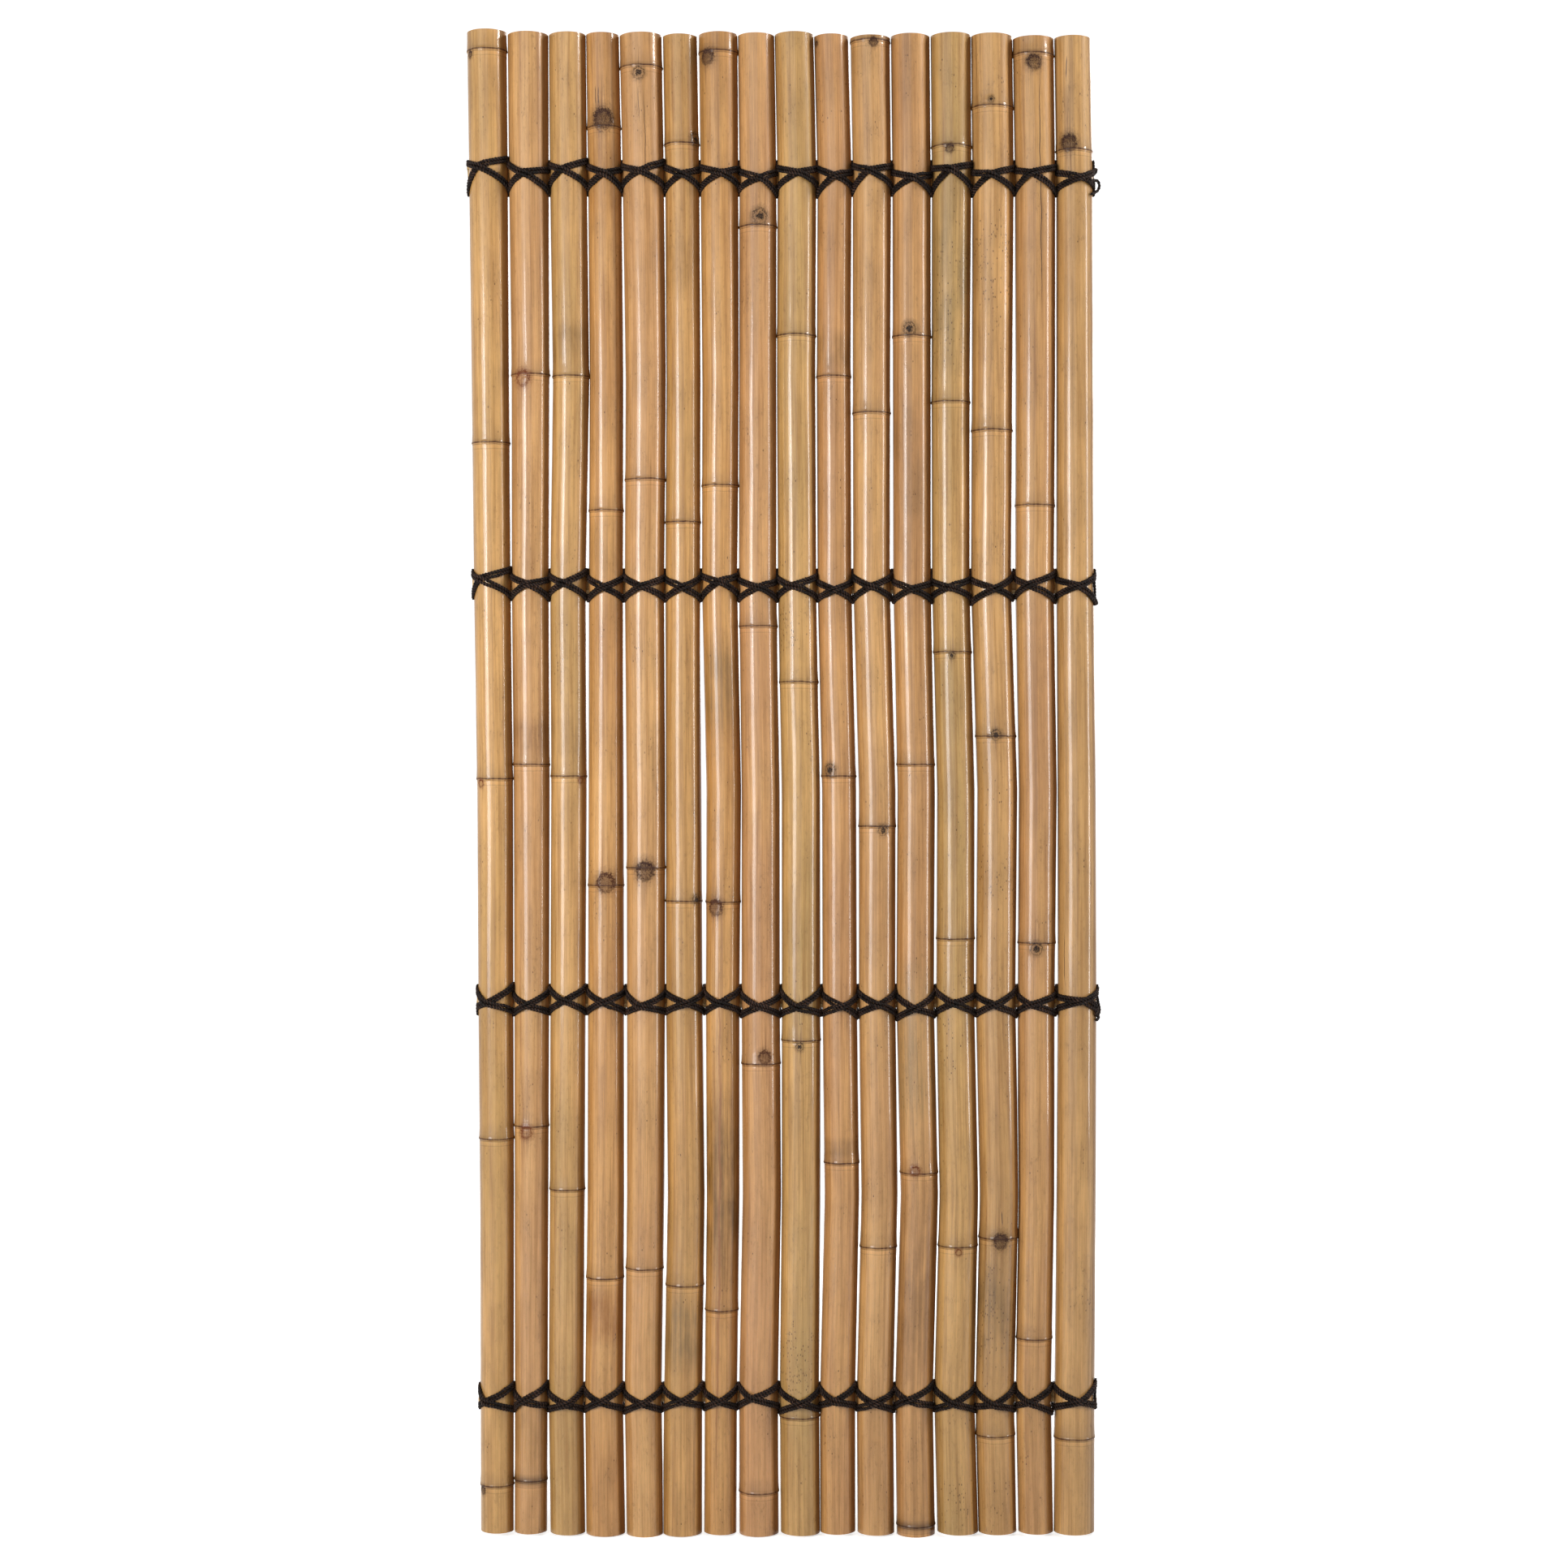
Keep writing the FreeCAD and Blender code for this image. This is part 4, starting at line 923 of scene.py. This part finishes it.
def twineTube(points, thin, startTurn):
    # Two plies twisted together: a rim of two lobes that turns along the strand, and where its crests
    # are, which take the painted highlight
    sides = twine["sides"]
    tangents = np.gradient(points, axis=0)
    tangents /= np.linalg.norm(tangents, axis=1)[:, None]
    side = np.cross(tangents[0], (0.3, 0.5, 0.8))
    side /= np.linalg.norm(side)
    angles = np.arange(sides) * 2 * math.pi / sides
    rims = np.empty((len(points), sides, 3))
    crests = np.empty((len(points), sides))
    for ring, (point, tangent) in enumerate(zip(points, tangents)):
        side = side - tangent * side.dot(tangent)
        side /= np.linalg.norm(side)
        other = np.cross(tangent, side)
        turned = angles - (startTurn + ring * 2 * math.pi / twine["ringsPerTurn"])
        # full thickness from 8 mm in front of the back plane, and drawn thin in the gaps
        squeeze = min(1.0, max(0.0, (-point[1] - 2) / 6)) if thin == 1 else 1.0
        radius = (twine["inGap"] + (twine["front"] - twine["inGap"]) * squeeze) * thin
        radius *= 1 + twine["lump"] * squeeze * noise.noise(Vector(point * twine["lumpRate"]))
        reach = radius * (1 + twine["lobe"] * np.cos(2 * turned))
        crests[ring] = 0.5 + 0.5 * np.cos(2 * turned)
        rims[ring] = point + reach[:, None] * (np.cos(angles)[:, None] * side + np.sin(angles)[:, None] * other)
    points = rims.reshape(-1, 3).tolist()
    faces = [tuple(range(sides)), tuple((len(rims) - 1) * sides + i for i in range(sides))]
    for ring in range(len(rims) - 1):
        a, b = ring * sides, (ring + 1) * sides
        for i in range(sides):
            j = (i + 1) % sides
            faces.append((a + i, a + j, b + j, b + i))
    return points, faces, crests.ravel().tolist()


def looseFibre(point, tangent, dice):
    # A short fibre that stands out of the twine and is bent back along it: three points and its tip
    outwards = Vector((dice.uniform(-1, 1), -dice.uniform(0.1, 1), dice.uniform(-1, 1))).normalized()
    outwards = np.array(outwards)
    outwards -= tangent * outwards.dot(tangent)
    outwards /= np.linalg.norm(outwards)
    root = point + outwards * twine["front"] * 0.8
    leaning = outwards + tangent * dice.uniform(-twine["hairLean"], twine["hairLean"])
    leaning /= np.linalg.norm(leaning)
    tip = root + leaning * dice.uniform(*twine["hairLength"])
    wide = np.cross(leaning, tangent)
    wide /= np.linalg.norm(wide) + 1e-6
    other = np.cross(leaning, wide)
    return [
        root + twine["hairWidth"] / 2 * (math.cos(turn) * wide + math.sin(turn) * other) for turn in (0, 2.09, 4.19)
    ] + [tip]


twineMaterial = blackTwine("blackHempPalmTwine", twine["dark"], twine["light"])

for order, (name, row) in enumerate(lashings.items(), 1):
    dice = random.Random(100 + order)
    low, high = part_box(row["batten"])
    row["inner"] = (high.z - low.z) / 2 / mm + twine["inGap"] + twine["clearance"]
    seenHeight = placeInPhoto(view["middle"][0], row["level"], twine["frontDepth"])[2]
    row["height"] = (seenHeight + rowHeights[row["batten"]]) / 2
    strands = [(lashingRoute(row, dice), 1.0)]
    strands += [([onLastCulm(*place) for place in loose], twine["looseThin"]) for loose in rightEnds[name]]

    points, faces, crests, frontRings = [], [], [], []
    for route, thin in strands:
        line = evenly(route)
        tubePoints, tubeFaces, tubeCrests = twineTube(line, thin, dice.uniform(0, 6))
        faces += [tuple(len(points) + i for i in face) for face in tubeFaces]
        points += tubePoints
        crests += tubeCrests
        tangents = np.gradient(line, axis=0)
        frontRings += [(p, t / np.linalg.norm(t)) for p, t in zip(line, tangents) if p[1] < twine["hairFrom"]]
    for _ in range(twine["hairs"]):
        base = len(points)
        points += looseFibre(*dice.choice(frontRings), dice)
        crests += [0.8] * 4  # painted nearly as pale as the highlight on the crests
        faces += [tuple(base + i for i in corners) for corners in ((0, 1, 2), (0, 1, 3), (1, 2, 3), (2, 0, 3))]
    kinds, marks = [0] * len(faces), {"plyCrest": crests}
    piece = finishMesh(f"twine_{name}", points, faces, [twineMaterial], kinds, marks=marks, sharpAngle=80)
    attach(piece, "root")
    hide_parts(name)
    print("panel:", name, len(faces), "faces")
print("panel: lashings built")


# Nails, sunk in holes in the skin of their culms
nails = {
    "holeRadius": 2.2, "headThickness": 1.0, "holeSides": 24, "drillFrom": -40,
    "through": {"pinning_nail_1": "culm_11", "pinning_nail_2": "culm_02"},
}

steel = nailSteel("dullNailSteel")
for name, carrier in nails["through"].items():
    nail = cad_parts[name]
    nail.data.materials.clear()
    nail.data.materials.append(steel)
    low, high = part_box(name)
    piece = culms[carrier]["piece"]
    sides, reach = nails["holeSides"], nails["holeRadius"]
    x, z = (low.x + high.x) / 2 / mm, (low.z + high.z) / 2 / mm
    rims = [
        (x + reach * math.cos(turn), depth, z + reach * math.sin(turn))
        for depth in (nails["drillFrom"], low.y / mm + nails["headThickness"])
        for turn in np.arange(sides) * 2 * math.pi / sides
    ]
    faces = [(i, (i + 1) % sides, sides + (i + 1) % sides, sides + i) for i in range(sides)]
    faces += [tuple(range(sides)), tuple(range(sides, 2 * sides))]
    cutter = finishMesh(f"hole_for_{name}", rims, faces, list(piece.data.materials), [1] * len(faces))
    cut = piece.modifiers.new("nailHole", "BOOLEAN")
    cut.operation, cut.object, cut.solver = "DIFFERENCE", cutter, "EXACT"
    bpy.context.view_layer.update()
    drilled = bpy.data.meshes.new_from_object(piece.evaluated_get(bpy.context.evaluated_depsgraph_get()))
    piece.modifiers.remove(cut)
    piece.data = drilled
    drilled.set_sharp_from_angle(angle=math.radians(40))
    bpy.data.objects.remove(cutter)
    print("panel:", name, "hole drilled,", len(drilled.polygons), "faces")


# Studio. Sizes and distances are in metres.
studio = {
    "backdrop": "#FFFFFF", "paper": "#F4F4F4", "paperBounce": "#7E7E7E", "worldStrength": 0.1,
    "glowNear": 0.58, "glowFar": 0.92, "glowReach": (0.5, 2.4),
    "paperHalf": 12, "bendFrom": 3.0, "bendRadius": 1.5, "paperTop": 8,
    "aim": 0.92,
}


def seenDirectly(add):
    # 1 for the rays on which the paper and the world show as the white backdrop
    path = add("LightPath", out=None).outputs
    seen = add("Math", (path["Is Camera Ray"], path["Is Glossy Ray"]), **larger)
    return add("Math", (seen, path["Is Transmission Ray"]), **larger)


# Seamless white paper under and behind the panel: matt, and white to the camera where it is lit.
def paperWhite(name):
    material, add = newMaterial(name)
    paper = add("BsdfPrincipled", {"Base Color": toLinear(studio["paper"]), "Roughness": 0.9})
    unseen = add("BsdfDiffuse", {"Color": toLinear(studio["paperBounce"])})
    away = add("VectorMath", (add("TexCoord", out="Object"),), out="Value", operation="LENGTH")
    strength = add("MapRange", (away, *studio["glowReach"], studio["glowNear"], studio["glowFar"]))
    glow = add("Emission", {"Color": toLinear(studio["backdrop"]), "Strength": strength})
    shown = add("MixShader", (seenDirectly(add), unseen, add("AddShader", (paper, glow))))
    add("OutputMaterial", {"Surface": shown})
    return material


half, bendFrom, bend = studio["paperHalf"], studio["bendFrom"], studio["bendRadius"]
sweep = [(-half, 0), (bendFrom, 0)] + [
    (bendFrom + bend * math.sin(a), bend - bend * math.cos(a)) for a in np.radians(np.arange(10, 91, 10))
] + [(bendFrom + bend, studio["paperTop"])]
sweepPoints = [(x, y, z) for y, z in sweep for x in (-half, half)]
floorMesh = bpy.data.meshes.new("paperSweep")
floorMesh.from_pydata(sweepPoints, [], [(2 * i, 2 * i + 1, 2 * i + 3, 2 * i + 2) for i in range(len(sweep) - 1)])
floorMesh.materials.append(paperWhite("whitePaper"))
floorMesh.shade_smooth()
floor = bpy.data.objects.new("paper_sweep", floorMesh)
bpy.context.scene.collection.objects.link(floor)

world = bpy.data.worlds.new("studio")
bpy.context.scene.world = world
world.use_nodes = True
world.node_tree.nodes.clear()
add = partial(addNode, world.node_tree)
strength = add("MapRange", (seenDirectly(add), 0, 1, studio["worldStrength"], 1.0))
surround = add("Background", {"Color": toLinear(studio["backdrop"]), "Strength": strength})
add("OutputWorld", {"Surface": surround})

# Softboxes round the panel. aim: height above the floor that one looks at. grid: narrowed beam, in degrees.
lamps = {
    "leftSoftbox": {"azimuth": -42, "distance": 2.6, "height": 1.12, "size": (0.95, 1.35), "power": 33},
    "leftCore": {"azimuth": -38, "distance": 2.55, "height": 1.5, "size": (0.26, 0.8), "power": 8.5},
    "frontScrim": {"azimuth": -24, "distance": 3.7, "height": 1.5, "size": (3.8, 3.0), "power": 40},
    "rightStrip": {"azimuth": 77, "distance": 2.4, "height": 1.15, "size": (0.28, 1.8), "power": 21},
    "rightHigh": {
        "azimuth": 77, "distance": 2.4, "height": 2.8, "size": (0.5, 0.6), "power": 5.5, "aim": 1.7, "grid": 80,
    },
    "backFill": {"azimuth": 160, "distance": 2.9, "height": 1.9, "size": (2.4, 1.8), "power": 62},
}

for name, lamp in lamps.items():
    light = bpy.data.lights.new(name, "AREA")
    light.shape = "RECTANGLE"
    light.size, light.size_y = lamp["size"]
    light.energy = lamp["power"]
    if "grid" in lamp:
        light.spread = math.radians(lamp["grid"])
    lampObject = bpy.data.objects.new(name, light)
    bpy.context.scene.collection.objects.link(lampObject)
    lampObject.visible_camera = False
    turn = math.radians(lamp["azimuth"])
    spot = Vector((math.sin(turn) * lamp["distance"], -math.cos(turn) * lamp["distance"], lamp["height"]))
    lampObject.location = spot
    lampObject.rotation_mode = "QUATERNION"
    aim = Vector((0, 0, lamp.get("aim", studio["aim"])))
    lampObject.rotation_quaternion = (aim - spot).to_track_quat("-Z", "Y")

cameraData = bpy.data.cameras.new("camera")
cameraData.sensor_width = view["sensor"]
cameraData.lens = view["sensor"] * -view["place"][1] / view["width"]
camera = bpy.data.objects.new("camera", cameraData)
camera.location = Vector(view["place"]) * mm
camera.rotation_euler = (math.radians(90), 0, 0)
bpy.context.scene.collection.objects.link(camera)
bpy.context.scene.camera = camera
bpy.context.scene.view_settings.view_transform = "Standard"
print("panel: studio ready")
